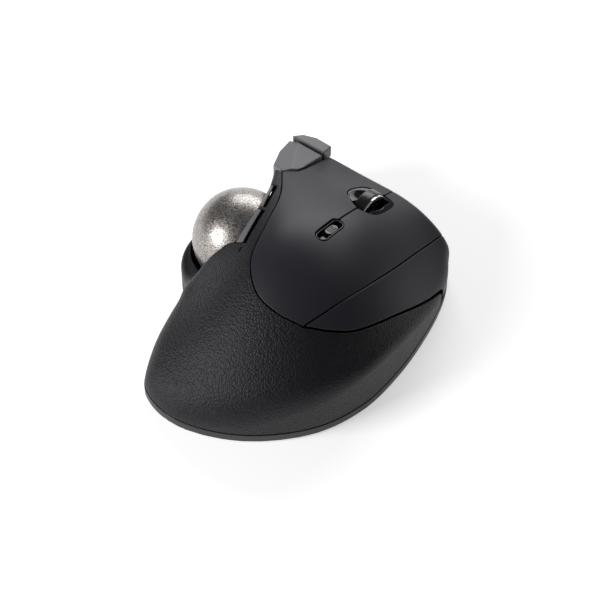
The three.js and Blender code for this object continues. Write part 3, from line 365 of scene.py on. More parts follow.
    def sheet(self, reach: float = 1.93, count: int = 264, near: tuple[Array, float] | None = None) -> Sheet:
        """Fine even mesh of the skin down to the floor.

        Args:
            reach: angle from straight up that the mesh covers.
            count: samples across.
            near: direction and angle of a smaller window, or None for the whole skin.

        Returns:
            The sheet.
        """
        a = np.linspace(-reach, reach, count)
        u, v = np.meshgrid(a, a, indexing="ij")
        rho = np.hypot(u, v)
        keep = rho < reach
        if near is not None:
            safe = np.maximum(rho, 1e-9)
            toward = np.stack([np.sin(safe) * u / safe, np.sin(safe) * v / safe, np.cos(safe)], -1) @ near[0]
            keep &= toward > math.cos(near[1])
        index = np.full(keep.shape, -1)
        index[keep] = np.arange(keep.sum())
        r = np.maximum(rho[keep], 1e-9)
        rays = np.stack([np.sin(r) * u[keep] / r, np.sin(r) * v[keep] / r, np.cos(r)], -1)
        points = self.project(rays)
        a00, a10, a01, a11 = index[:-1, :-1], index[1:, :-1], index[:-1, 1:], index[1:, 1:]
        triangles = np.vstack(
            [np.stack([a00, a10, a11], -1).reshape(-1, 3), np.stack([a00, a11, a01], -1).reshape(-1, 3)]
        )
        return Sheet(points, self.normal(points), triangles[(triangles >= 0).all(1)])


@dataclass
class KeyBlock(Skin):
    """Outside of a function key: upright sides round an outline, under flat facets."""

    plan: Array = field(default_factory=lambda: np.zeros((3, 2)))
    facets: list[tuple[tuple[float, float, float], tuple[float, float, float]]] = field(default_factory=list)
    ease: float = 0.7

    def __post_init__(self) -> None:
        """Places the heart inside the key."""
        middle = (self.plan.min(0) + self.plan.max(0)) / 2
        self.heart = np.array([middle[0] + 1.5, middle[1], 32.0])

    def field(self, p: Array) -> Array:
        """Signed field of the sides and the facets."""
        value = outline_distance(self.plan, p[..., 0], p[..., 1]) + self.ease
        for point, normal in self.facets:
            way = np.array(normal) / np.linalg.norm(normal)
            value = smooth_max(value, (p - np.array(point)) @ way, 0.45)
        return value


# ---- sheets ------------------------------------------------------------------------------------


@dataclass
class Sheet:
    """A triangulated surface with analytic normals, ready to be cut, rounded and given a wall."""

    points: Array
    normals: Array
    triangles: Array
    edge: Array | None = None
    side: Array | None = None

    def measured(self, distance: Distance, near: float = 5.0) -> Sheet:
        """The same sheet with the surface distance to a border, negative inside it.

        Args:
            distance: signed distance of points to the border.
            near: width of the band in which the distance is taken along the surface.

        Returns:
            A new sheet that holds only the triangles that reach inside the border.
        """
        g = distance(self.points)
        keep = (g[self.triangles] < 0).any(1)
        used = np.unique(self.triangles[keep])
        renumber = np.full(len(self.points), -1)
        renumber[used] = np.arange(len(used))
        p, n, g = self.points[used], self.normals[used], g[used]
        side = np.zeros_like(p)
        band = np.abs(g) < near
        q, m = p[band], n[band]
        helper = np.where(np.abs(m[:, 2:]) < 0.8, [[0.0, 0.0, 1.0]], [[1.0, 0.0, 0.0]])
        t1 = np.cross(m, helper)
        t1 /= np.linalg.norm(t1, axis=1, keepdims=True)
        t2 = np.cross(m, t1)
        h = 0.05
        g1 = (distance(q + h * t1) - distance(q - h * t1)) / (2 * h)
        g2 = (distance(q + h * t2) - distance(q - h * t2)) / (2 * h)
        slope = np.maximum(np.hypot(g1, g2), 0.2)
        g[band] = g[band] / slope
        side[band] = (t1 * g1[:, None] + t2 * g2[:, None]) / slope[:, None]
        return Sheet(p, n, renumber[self.triangles[keep]], g, side)

    def split(self, level: float) -> Sheet:
        """The sheet with its triangles divided along a line of equal distance."""
        s = self.edge - level
        s = np.where(np.abs(s) < 1e-6, 1e-6, s)
        above = s[self.triangles] > 0
        count = above.sum(1)
        whole = self.triangles[(count == 0) | (count == 3)]
        mixed = self.triangles[(count == 1) | (count == 2)]
        if not len(mixed):
            return self
        up = s[mixed] > 0
        lone = np.where((up.sum(1) == 1)[:, None], up, ~up).argmax(1)
        row = np.arange(len(mixed))
        a, b, c = mixed[row, lone], mixed[row, (lone + 1) % 3], mixed[row, (lone + 2) % 3]
        pairs = np.sort(np.vstack([np.stack([a, b], -1), np.stack([a, c], -1)]), axis=1)
        unique, inverse = np.unique(pairs, axis=0, return_inverse=True)
        inverse = inverse.ravel()
        i, j = unique[:, 0], unique[:, 1]
        t = (s[i] / (s[i] - s[j]))[:, None]
        base = len(self.points)
        ab, ac = base + inverse[: len(a)], base + inverse[len(a) :]

        def mix(v: Array) -> Array:
            """Values with those of the new points added."""
            return np.vstack([v, v[i] * (1 - t) + v[j] * t])

        triangles = np.vstack(
            [whole, np.stack([a, ab, ac], -1), np.stack([ab, b, c], -1), np.stack([ab, c, ac], -1)]
        )
        edge = np.concatenate([self.edge, np.full(len(unique), level)])
        return Sheet(mix(self.points), mix(self.normals), triangles, edge, mix(self.side))

    def cut(self) -> Sheet:
        """The part of the sheet inside the border."""
        made = self.split(0.0)
        inside = made.edge[made.triangles].min(1) < -1e-7
        return made.only(made.triangles[inside & (made.edge[made.triangles].max(1) < 1e-4)])

    def only(self, triangles: Array) -> Sheet:
        """The sheet with only these triangles and their points."""
        used = np.unique(triangles)
        renumber = np.full(len(self.points), -1)
        renumber[used] = np.arange(len(used))
        return Sheet(
            self.points[used], self.normals[used], renumber[triangles], self.edge[used], self.side[used]
        )

    def half(self, distance: Distance) -> Sheet:
        """The part where a second distance is negative, with a plain unrounded border.

        Args:
            distance: signed distance that divides the sheet.

        Returns:
            The part on the negative side.
        """
        g = distance(self.points)
        plain = Sheet(self.points, self.normals, self.triangles, g, np.column_stack([self.side, self.edge]))
        made = plain.cut()
        return Sheet(made.points, made.normals, made.triangles, made.side[:, 3], made.side[:, :3])

    def borders(self) -> Array:
        """Directed border edges, each used by one triangle only."""
        t = self.triangles
        edges = np.vstack([t[:, [0, 1]], t[:, [1, 2]], t[:, [2, 0]]])
        key = np.sort(edges, axis=1)
        _, first, count = np.unique(key, axis=0, return_index=True, return_counts=True)
        return edges[first[count == 1]]

    def shell(
        self, name: str, wall: float, rounding: float, keep_out: tuple[Array, float] | None = None
    ) -> Piece:
        """Closed shell with rounded edges.

        Args:
            name: piece name.
            wall: wall thickness.
            rounding: radius of the rounded edges.
            keep_out: centre and radius of a sphere that the inner wall stays out of.

        Returns:
            The piece, with a custom normal for each vertex.
        """
        made = self
        for share in (0.12, 0.3, 0.55, 1.0):
            made = made.split(-rounding * share)
        n = made.normals / (np.linalg.norm(made.normals, axis=1, keepdims=True) + 1e-12)
        side = made.side / (np.linalg.norm(made.side, axis=1, keepdims=True) + 1e-12)
        depth = np.clip(-made.edge, 0, None)
        sine = np.clip((rounding - depth) / rounding, 0, 1)
        sink = rounding * (1 - np.sqrt(1 - sine**2))
        outer = made.points - n * sink[:, None]
        shade = n * np.sqrt(1 - sine**2)[:, None] + side * sine[:, None]
        shade /= np.linalg.norm(shade, axis=1, keepdims=True) + 1e-12
        inner = made.points - n * wall
        if keep_out is not None:
            away = inner - keep_out[0]
            far = np.linalg.norm(away, axis=1, keepdims=True)
            inner = np.where(far < keep_out[1], keep_out[0] + away / far * keep_out[1], inner)
        count = len(outer)
        rim = made.borders()
        a, b = rim[:, 0], rim[:, 1]
        triangles = np.vstack(
            [
                made.triangles,
                made.triangles[:, ::-1] + count,
                np.stack([a, a + count, b + count], -1),
                np.stack([a, b + count, b], -1),
            ]
        )
        return Piece(name, np.vstack([outer, inner]), triangles, np.vstack([shade, -n]))


@dataclass
class Piece:
    """A finished surface in millimetres, before it becomes an object."""

    name: str
    points: Array
    faces: Array | list
    normals: Array | None = None
    values: dict[str, Array] = field(default_factory=dict)


@dataclass
class Workshop:
    """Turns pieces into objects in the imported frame, eased inward where they would pass its box."""

    offset: Array
    low: Array
    margin: float = 6.0
    spill: tuple[float, float, float] = (0.46, 0.13, 0.0)

    def eased(self, points: Array) -> Array:
        """Points with the outermost millimetres drawn in, so that none passes the low faces of the box."""
        out = np.array(points, float)
        for axis in range(3):
            start = self.low[axis] + self.margin
            share = (self.margin - 0.004) / (self.margin + self.spill[axis])
            near = out[:, axis] < start
            if self.spill[axis] > 0:
                out[near, axis] = start - (start - out[near, axis]) * share
        return out

    def metres(self, points: Array) -> Array:
        """Points of the mouse's own axes, as metres in the frame."""
        return (np.asarray(points, float) + self.offset) / 1000

    def make(
        self, piece: Piece, material: bpy.types.Material, sharp: float | None = None
    ) -> bpy.types.Object:
        """An object at the origin with its place in its mesh.

        Args:
            piece: the surface.
            material: its finish.
            sharp: angle in degrees above which an edge stays sharp, or None for all smooth.

        Returns:
            The new object.
        """
        mesh = bpy.data.meshes.new(piece.name)
        faces = piece.faces.tolist() if isinstance(piece.faces, np.ndarray) else piece.faces
        mesh.from_pydata(self.metres(self.eased(piece.points)).tolist(), [], faces)
        mesh.update()
        mesh.polygons.foreach_set("use_smooth", np.ones(len(mesh.polygons), bool))
        if sharp is not None:
            mesh.set_sharp_from_angle(angle=math.radians(sharp))
        if piece.normals is not None:
            mesh.normals_split_custom_set_from_vertices(piece.normals.tolist())
        for name, value in piece.values.items():
            attribute = mesh.attributes.new(name, "FLOAT", "POINT")
            attribute.data.foreach_set("value", np.asarray(value, np.float32))
        mesh.materials.append(material)
        made = bpy.data.objects.new(piece.name, mesh)
        bpy.context.scene.collection.objects.link(made)
        LOG.info("%s: %d faces", piece.name, len(mesh.polygons))
        return made


# ---- finishes ----------------------------------------------------------------------------------


class Grain(str, Enum):
    """Surface textures that a moulded piece can have."""

    LEATHER = "leather"
    FINE = "fine"
    POLISHED = "polished"
    FLAKE = "flake"
    BRUSHED = "brushed"


@dataclass(frozen=True)
class Finish:
    """One finish of the mouse, turned into a node material."""

    name: str
    slot: str
    colour: tuple[float, float, float]
    roughness: float
    grain: Grain = Grain.FINE
    metallic: float = 0.0
    coat: float = 0.0
    specular: float = 0.5
    depth: float = 0.00003
    size: float = 0.0004
    ior: float = 1.5

    def material(self) -> bpy.types.Material:
        """The node material of this finish, made once."""
        name = f"{self.name}_finish"
        known = bpy.data.materials.get(name)
        if known is not None:
            return known
        made = bpy.data.materials.new(name)
        made.use_nodes = True
        tree = made.node_tree
        shader = tree.nodes["Principled BSDF"]
        shader.inputs["Metallic"].default_value = self.metallic
        shader.inputs["Coat Weight"].default_value = self.coat
        shader.inputs["Coat Roughness"].default_value = 0.06
        shader.inputs["Specular IOR Level"].default_value = self.specular
        shader.inputs["IOR"].default_value = self.ior
        place = tree.nodes.new("ShaderNodeTexCoord").outputs["Object"]
        {
            Grain.LEATHER: self._leather,
            Grain.FINE: self._fine,
            Grain.POLISHED: self._polished,
            Grain.FLAKE: self._flake,
            Grain.BRUSHED: self._brushed,
        }[self.grain](tree, shader, place)
        return made

    def _noise(
        self, tree: bpy.types.NodeTree, place: bpy.types.NodeSocket, scale: float, detail: float = 3.0
    ) -> bpy.types.Node:
        """A noise texture node read at a place.

        Args:
            tree: node tree of the material.
            place: where the texture is read.
            scale: scale of the noise.
            detail: detail of the noise.

        Returns:
            The texture node.
        """
        node = tree.nodes.new("ShaderNodeTexNoise")
        node.inputs["Scale"].default_value = scale
        node.inputs["Detail"].default_value = detail
        tree.links.new(place, node.inputs["Vector"])
        return node

    def _range(
        self,
        tree: bpy.types.NodeTree,
        value: bpy.types.NodeSocket,
        low: float,
        high: float,
        start: float = 0.0,
        end: float = 1.0,
    ) -> bpy.types.NodeSocket:
        """A value remapped from one range to another.

        Args:
            tree: node tree of the material.
            value: the value to remap.
            low: result at the start.
            high: result at the end.
            start: value that gives low.
            end: value that gives high.

        Returns:
            The remapped value.
        """
        node = tree.nodes.new("ShaderNodeMapRange")
        node.inputs["From Min"].default_value = start
        node.inputs["From Max"].default_value = end
        node.inputs["To Min"].default_value = low
        node.inputs["To Max"].default_value = high
        tree.links.new(value, node.inputs["Value"])
        return node.outputs["Result"]

    def _mix(
        self, tree: bpy.types.NodeTree, share: bpy.types.NodeSocket, a: tuple, b: tuple
    ) -> bpy.types.NodeSocket:
        """A colour between two others.

        Args:
            tree: node tree of the material.
            share: 0 for the first colour, 1 for the second.
            a: first colour.
            b: second colour.

        Returns:
            The mixed colour.
        """
        node = tree.nodes.new("ShaderNodeMix")
        node.data_type = "RGBA"
        node.inputs["A"].default_value = (*a, 1)
        node.inputs["B"].default_value = (*b, 1)
        tree.links.new(share, node.inputs["Factor"])
        return node.outputs["Result"]

    def _scaled(self, by: float) -> tuple[float, float, float]:
        """The base colour made lighter or darker."""
        return tuple(min(1.0, c * by) for c in self.colour)

    def _bump(
        self,
        tree: bpy.types.NodeTree,
        shader: bpy.types.Node,
        height: bpy.types.NodeSocket,
        depth: float,
        strength: bpy.types.NodeSocket | None = None,
    ) -> None:
        """Adds a height pattern to the shader's normal.

        Args:
            tree: node tree of the material.
            shader: the shader that gets the pattern.
            height: the height pattern.
            depth: depth of the pattern in metres.
            strength: share of the pattern that shows, or None for all of it.
        """
        bump = tree.nodes.new("ShaderNodeBump")
        bump.inputs["Distance"].default_value = depth
        bump.inputs["Strength"].default_value = 1.0
        if strength is not None:
            tree.links.new(strength, bump.inputs["Strength"])
        tree.links.new(height, bump.inputs["Height"])
        tree.links.new(bump.outputs["Normal"], shader.inputs["Normal"])

    def _fine(self, tree: bpy.types.NodeTree, shader: bpy.types.Node, place: bpy.types.NodeSocket) -> None:
        """Fine spark texture of a satin moulding, with faint handling marks."""
        spark = self._noise(tree, place, 1 / self.size, 2.0)
        cloud = self._noise(tree, place, 28.0, 4.0)
        tone = self._mix(tree, cloud.outputs["Fac"], self._scaled(0.88), self._scaled(1.12))
        tree.links.new(tone, shader.inputs["Base Color"])
        tree.links.new(
            self._range(tree, cloud.outputs["Fac"], self.roughness - 0.06, self.roughness + 0.06, 0.3, 0.7),
            shader.inputs["Roughness"],
        )
        self._bump(tree, shader, spark.outputs["Fac"], self.depth)

    def _leather(self, tree: bpy.types.NodeTree, shader: bpy.types.Node, place: bpy.types.NodeSocket) -> None:
        """Pebbled leather-like grain that fades to smooth where the piece's grain attribute falls to zero."""
        warp = self._noise(tree, place, 300.0, 2.0)
        shifted = tree.nodes.new("ShaderNodeMix")
        shifted.data_type = "VECTOR"
        shifted.inputs["Factor"].default_value = 0.0011
        tree.links.new(place, shifted.inputs["A"])
        tree.links.new(warp.outputs["Color"], shifted.inputs["B"])
        cell = tree.nodes.new("ShaderNodeTexVoronoi")
        cell.feature = "SMOOTH_F1"
        cell.inputs["Scale"].default_value = 1 / self.size
        cell.inputs["Smoothness"].default_value = 0.35
        tree.links.new(shifted.outputs["Result"], cell.inputs["Vector"])
        large = self._noise(tree, place, 620.0, 3.0)
        small = self._noise(tree, place, 4200.0, 2.0)
        total = tree.nodes.new("ShaderNodeMath")
        total.operation = "MULTIPLY_ADD"
        tree.links.new(large.outputs["Fac"], total.inputs[0])
        total.inputs[1].default_value = 0.45
        tree.links.new(self._range(tree, cell.outputs["Distance"], 1.0, 0.0, 0.0, 0.75), total.inputs[2])
        both = tree.nodes.new("ShaderNodeMath")
        both.operation = "MULTIPLY_ADD"
        tree.links.new(small.outputs["Fac"], both.inputs[0])
        both.inputs[1].default_value = 0.14
        tree.links.new(total.outputs["Value"], both.inputs[2])
        mask = tree.nodes.new("ShaderNodeAttribute")
        mask.attribute_name = "grain"
        share = self._range(tree, cell.outputs["Distance"], 0, 1, 0.1, 0.7)
        tone = self._mix(tree, share, self._scaled(1.25), self._scaled(0.7))
        tree.links.new(tone, shader.inputs["Base Color"])
        rough, smooth = self.roughness + 0.1, self.roughness - 0.06
        gloss = self._range(tree, total.outputs["Value"], rough, smooth, 0.4, 1.6)
        tree.links.new(gloss, shader.inputs["Roughness"])
        strength = self._range(tree, mask.outputs["Fac"], 0.12, 1.0)
        self._bump(tree, shader, both.outputs["Value"], self.depth, strength)

    def _polished(
        self, tree: bpy.types.NodeTree, shader: bpy.types.Node, place: bpy.types.NodeSocket
    ) -> None:
        """High polish with a hint of dust and faint waviness."""
        dust = self._noise(tree, place, 1600.0, 4.0)
        wave = self._noise(tree, place, 90.0, 1.0)
        share = self._range(tree, dust.outputs["Fac"], 0, 1, 0.62, 0.8)
        tone = self._mix(tree, share, self.colour, self._scaled(1.6))
        tree.links.new(tone, shader.inputs["Base Color"])
        gloss = self._range(tree, dust.outputs["Fac"], self.roughness, self.roughness + 0.08, 0.5, 0.8)
        tree.links.new(gloss, shader.inputs["Roughness"])
        self._bump(tree, shader, wave.outputs["Fac"], self.depth)

    def _flake(self, tree: bpy.types.NodeTree, shader: bpy.types.Node, place: bpy.types.NodeSocket) -> None:
        """Metallic flakes of many tilts and tones, under a thin coat."""
        flake = self._noise(tree, place, 1 / self.size, 2.0)
        fleck = self._noise(tree, place, 0.55 / self.size, 1.0)
        share = self._range(tree, flake.outputs["Fac"], 0, 1, 0.38, 0.62)
        tone = self._mix(tree, share, self._scaled(0.38), self._scaled(1.4))
        tree.links.new(tone, shader.inputs["Base Color"])
        low, high = self.roughness - 0.08, self.roughness + 0.12
        gloss = self._range(tree, fleck.outputs["Fac"], low, high, 0.35, 0.65)
        tree.links.new(gloss, shader.inputs["Roughness"])
        self._bump(tree, shader, flake.outputs["Fac"], self.depth)

    def _brushed(self, tree: bpy.types.NodeTree, shader: bpy.types.Node, place: bpy.types.NodeSocket) -> None:
        """Turned or drawn metal: fine lines along one axis."""
        turn = tree.nodes.new("ShaderNodeMapping")
        turn.inputs["Scale"].default_value = (9000.0, 300.0, 300.0)
        tree.links.new(place, turn.inputs["Vector"])
        lines = self._noise(tree, turn.outputs["Vector"], 1.0, 3.0)
        tone = self._mix(tree, lines.outputs["Fac"], self._scaled(0.8), self._scaled(1.15))
        tree.links.new(tone, shader.inputs["Base Color"])
        gloss = self._range(tree, lines.outputs["Fac"], self.roughness - 0.05, self.roughness + 0.1)
        tree.links.new(gloss, shader.inputs["Roughness"])
        self._bump(tree, shader, lines.outputs["Fac"], self.depth)


GRAINED = Finish(
    "grained_moulding", "grained_plastic", (0.007, 0.0072, 0.0103), 0.42, Grain.LEATHER,
    specular=0.3, depth=0.00017, size=0.0008,
)
SATIN = Finish(
    "satin_moulding", "satin_plastic", (0.019, 0.0194, 0.027), 0.46,
    specular=0.34, depth=0.000012, size=0.00022,
)
KEY_SATIN = Finish("key_moulding", "satin_plastic", (0.13, 0.131, 0.143), 0.42, depth=0.000012, size=0.00022)
BASE = Finish("base_moulding", "base_plastic", (0.016, 0.017, 0.019), 0.5, depth=0.00002, size=0.0005)
GLOSS = Finish("gloss_moulding", "gloss_black", (0.004, 0.004, 0.005), 0.06, Grain.POLISHED, depth=0.00001)
SILVER = Finish(
    "ball_silver", "ball_silver", (0.36, 0.338, 0.322), 0.36, Grain.FLAKE,
    metallic=1.0, coat=0.15, depth=0.00004, size=0.00045,
)
CHROME = Finish(
    "chrome_ring", "chrome_ring", (0.85, 0.86, 0.88), 0.08, Grain.BRUSHED,
    metallic=1.0, depth=0.000002,
)
STEEL = Finish("bright_steel", "steel", (0.55, 0.56, 0.58), 0.28, Grain.BRUSHED, metallic=1.0, depth=0.000004)
TYRE = Finish("wheel_rubber", "rubber_black", (0.008, 0.008, 0.009), 0.3, depth=0.00001, size=0.0003)
INNER = Finish("inner_moulding", "inner_plastic", (0.02, 0.02, 0.022), 0.5, depth=0.00002, size=0.0004)
SWITCHES = Finish("switch_moulding", "switch_plastic", (0.05, 0.05, 0.055), 0.42, depth=0.00001, size=0.0003)
RESIST = Finish("board_resist", "board", (0.012, 0.07, 0.03), 0.35, coat=0.4, depth=0.00001, size=0.0006)
GLIDE = Finish("glide_foot", "glide", (0.52, 0.52, 0.5), 0.34, depth=0.00001, size=0.0003)
BEARING = Finish("bearing_ball", "bearing", (0.6, 0.58, 0.54), 0.15, Grain.POLISHED, depth=0.000002)
CLEAR = Finish("lens_moulding", "clear_plastic", (0.3, 0.31, 0.32), 0.16, Grain.POLISHED, depth=0.000004)
# Near-black, barely reflective finish: painted shade inside the thumb buttons' slots.
SLOT_SHADE = Finish("slot_painted_shade", "inner_plastic", (0.0015, 0.0015, 0.0016), 0.8, specular=0.08, depth=0.00001)
SMOKED = Finish("smoked_window", "clear_plastic", (0.02, 0.02, 0.022), 0.2, Grain.POLISHED, depth=0.000004)
CELL = Finish("cell_sleeve", "cell_case", (0.04, 0.13, 0.22), 0.3, metallic=0.4, depth=0.00001, size=0.0006)


# ---- shell pieces ------------------------------------------------------------------------------


@dataclass
class Seams:
    """Where the skin is divided, as signed distances that are negative inside each region."""

    skin: Skin
    gap: float = 0.42
    wrap_gap: float = 1.2
    plate_wrap: float = 21.0
    wrap_slope: float = -0.2
    panel_wrap: float = 8.0
    key_wrap: float = 31.0
    case_top: float = 5.6
    slit_x: float = 3.6
    slit_rear: float = 9.0
    blade_low: float = 37.0
    slot: float = 2.0
    panel_ease: float = 0.08
    panel_room: float = 0.25
    lamp_low: float = 30.0
    lamp_place: tuple[float, float] = (-22.0, -9.9)
    lamp_turn: float = 17.0
    lamp_reach: float = 1.35
    lamp_radius: float = 0.55
    mode_place: tuple[float, float] = (4.7, 17.2)
    mode_reach: float = 10.8
    mode_hole: float = 3.1
    band_low: float = 0.85
    band_high: float = 5.2
    beyond: float = -9.0

    def __post_init__(self) -> None:
        """Draws the seam outlines in plan."""
        tip = (22.1, -24.7)
        strip = [(-36, 37.6), (-25.4, 22.2), (-18.9, 3.5), (-13.2, -14), (-2.3, -24.6), (10, -27), tip]
        seam = [tip, (26.6, -12.3), (30.1, 4), (31.2, 24.4), (30.8, 48), (30.8, 80)]
        skirt = [tip, (31.2, -18.4), (38, -10.2), (42.1, 2.1)]
        skirt += [(44.7, 20.8), (45.4, 35.4), (44.9, 46.7), (46, 52)]
        left = smooth_curve(strip, 10, False)
        right = smooth_curve(seam, 10, False)
        low = smooth_curve(skirt, 10, False)
        key_side = [(-31, 80), (-31, 61.5), (-30.3, 46), (-30.9, 42.5)]
        self.plate_outline = np.vstack([left, right[1:], key_side])
        self.panel_outline = np.vstack([low, [(75, 56), (75, 80)], right[1:][::-1]])
        key_outline = [(-36.2, 37.6), (-30.9, 42.5), (-30.3, 46), (-31, 62.3), (-62, 62.3), (-62, 41)]
        self.rear_key = np.array(key_outline)
        self.front_key = np.array([(-31, 61.0), (-31, 80), (-62, 80), (-62, 61.0)])
        self.wheel = np.array([3.0, 46.4])
        self.wheel_z = 36.598
        opening = [(-9.6, -1), (-9.6, 8.5), (-6, 12.4), (4.5, 12.4)]
        opening += [(7.8, 8.5), (8, -2), (5, -6.2), (-1, -7.2)]
        self.opening = smooth_curve([(self.wheel[0] + x, self.wheel[1] + y) for x, y in opening], 8, True)
        self.edges = {
            Body.FORWARD: ((-30.6, 27.3), (-25.9, 12.9)),
            Body.BACK: ((-25.2, 11.6), (-21.4, -7.0)),
        }
        x, y = self.mode_place
        self.mode = np.array([x, y, float(self.skin.crown(x, y))])
        self.mode_tilt = math.atan(float(self.skin.crown(x, y + 5) - self.skin.crown(x, y - 5)) / 10)

    def plan(self, outline: Array, p: Array) -> Array:
        """Plan distance of points to an outline."""
        return outline_distance(outline, p[:, 0], p[:, 1])

    def above(self, height: float, slope: float, p: Array) -> Array:
        """Distance to the region above a line that falls to the right."""
        return height + slope * p[:, 0] - p[:, 2]

    def at_mode(self, p: Array) -> Array:
        """Points in the tilted frame of the mode switch."""
        q = p - self.mode
        c, s = math.cos(self.mode_tilt), math.sin(self.mode_tilt)
        return np.stack([q[:, 0], c * q[:, 1] + s * q[:, 2], -s * q[:, 1] + c * q[:, 2]], -1)

    def lift_distance(self, p: Array) -> Array:
        """Distance of points to the line along which the ball lifts out."""
        q = p - BALL
        along = np.maximum(q @ LIFT, 0)
        return np.linalg.norm(q - along[:, None] * LIFT, axis=1)

    def plate(self, p: Array) -> Array:
        """Region of the top plate, without its openings."""
        wrap = self.above(self.plate_wrap, self.wrap_slope, p)
        body = np.maximum(self.plan(self.plate_outline, p) + self.gap / 2, wrap)
        mode = self.at_mode(p)
        hole = outline_distance(stadium(0, 0, self.mode_reach, self.mode_hole), mode[:, 0], mode[:, 1])
        return np.maximum.reduce([body, -self.plan(self.opening, p), -hole])

    def plate_half(self, side: int) -> Distance:
        """Region of one half, bounded by the open part of the slit."""

        def region(p: Array) -> Array:
            """Distance to the half."""
            across = side * (p[:, 0] - self.slit_x) + self.gap / 2
            return np.maximum(self.plate(p), np.where(p[:, 1] > self.slit_rear, across, self.beyond))

        return region

    def panel(self, p: Array) -> Array:
        """Region of the ring finger panel."""
        border = self.plan(self.panel_outline, p) + self.gap / 2 + self.panel_ease
        return np.maximum(border, self.panel_wrap + 0.4 - p[:, 2])

    def palm(self, p: Array) -> Array:
        """Region of the palm shell: what the other pieces leave."""
        half = self.gap / 2
        wrap = self.above(self.plate_wrap - self.wrap_gap, self.wrap_slope, p)
        plate = np.maximum(self.plan(self.plate_outline, p) - half, wrap)
        panel = self.plan(self.panel_outline, p) - half - self.panel_room
        panel = np.maximum(panel, self.panel_wrap - self.wrap_gap - p[:, 2])
        keys = np.minimum(self.plan(self.rear_key, p), self.plan(self.front_key, p)) - half
        keys = np.maximum(keys, self.key_wrap - self.wrap_gap - p[:, 2])
        slots = np.minimum.reduce([self.slot_hole(body, p) for body in self.edges])
        lamp = outline_distance(self.lamp_outline(), p[:, 0], p[:, 1])
        lamp = np.where(p[:, 2] > self.lamp_low, lamp, -self.beyond)
        cup = np.linalg.norm(p - BALL, axis=1) - CUP_OPENING
        return np.maximum.reduce([-plate, -panel, -keys, -slots, -cup, -lamp, self.case_top - p[:, 2]])

    def lamp_outline(self) -> Array:
        """Small slot of the indicator lamp, in line with the strip."""
        turn = math.radians(self.lamp_turn)
        q = stadium(0, 0, self.lamp_reach, self.lamp_radius, 8)
        c, s = math.cos(turn), math.sin(turn)
        x, y = self.lamp_place
        return np.stack([x + c * q[:, 0] - s * q[:, 1], y + s * q[:, 0] + c * q[:, 1]], -1)

    def slot_hole(self, body: Body, p: Array) -> Array:
        """Region opened in the shell for one thumb button and its slot."""
        front, rear = self.edges[body]
        outline = np.array([front, (-70, front[1]), (-70, rear[1]), rear])
        return np.maximum(self.plan(outline, p), self.blade_low - 1 - p[:, 2])

    def blade(self, body: Body) -> Distance:
        """Region of one thumb button's blade."""
        front, rear = self.edges[body]
        wide = {Body.FORWARD: (3.2, 2.2), Body.BACK: (2.0, 3.6)}[body]
        left = front[0] - self.slot, rear[0] - self.slot
        top, foot = front[1] - 0.4, rear[1] + 0.4
        upper = [(left[0], top), (left[0] - wide[0], top)]
        lower = [(left[1] - wide[1], foot), (left[1], foot)]
        outline = np.array(upper + lower)

        def region(p: Array) -> Array:
            """Distance to the blade."""
            clear = BLADE_LIFT_ROOM - self.lift_distance(p)
            return np.maximum.reduce([self.plan(outline, p), self.blade_low - p[:, 2], clear])

        return region

    def band(self, p: Array) -> Array:
        """Region of the bottom case's outer wall."""
        return np.maximum(p[:, 2] - self.band_high, self.band_low - p[:, 2])


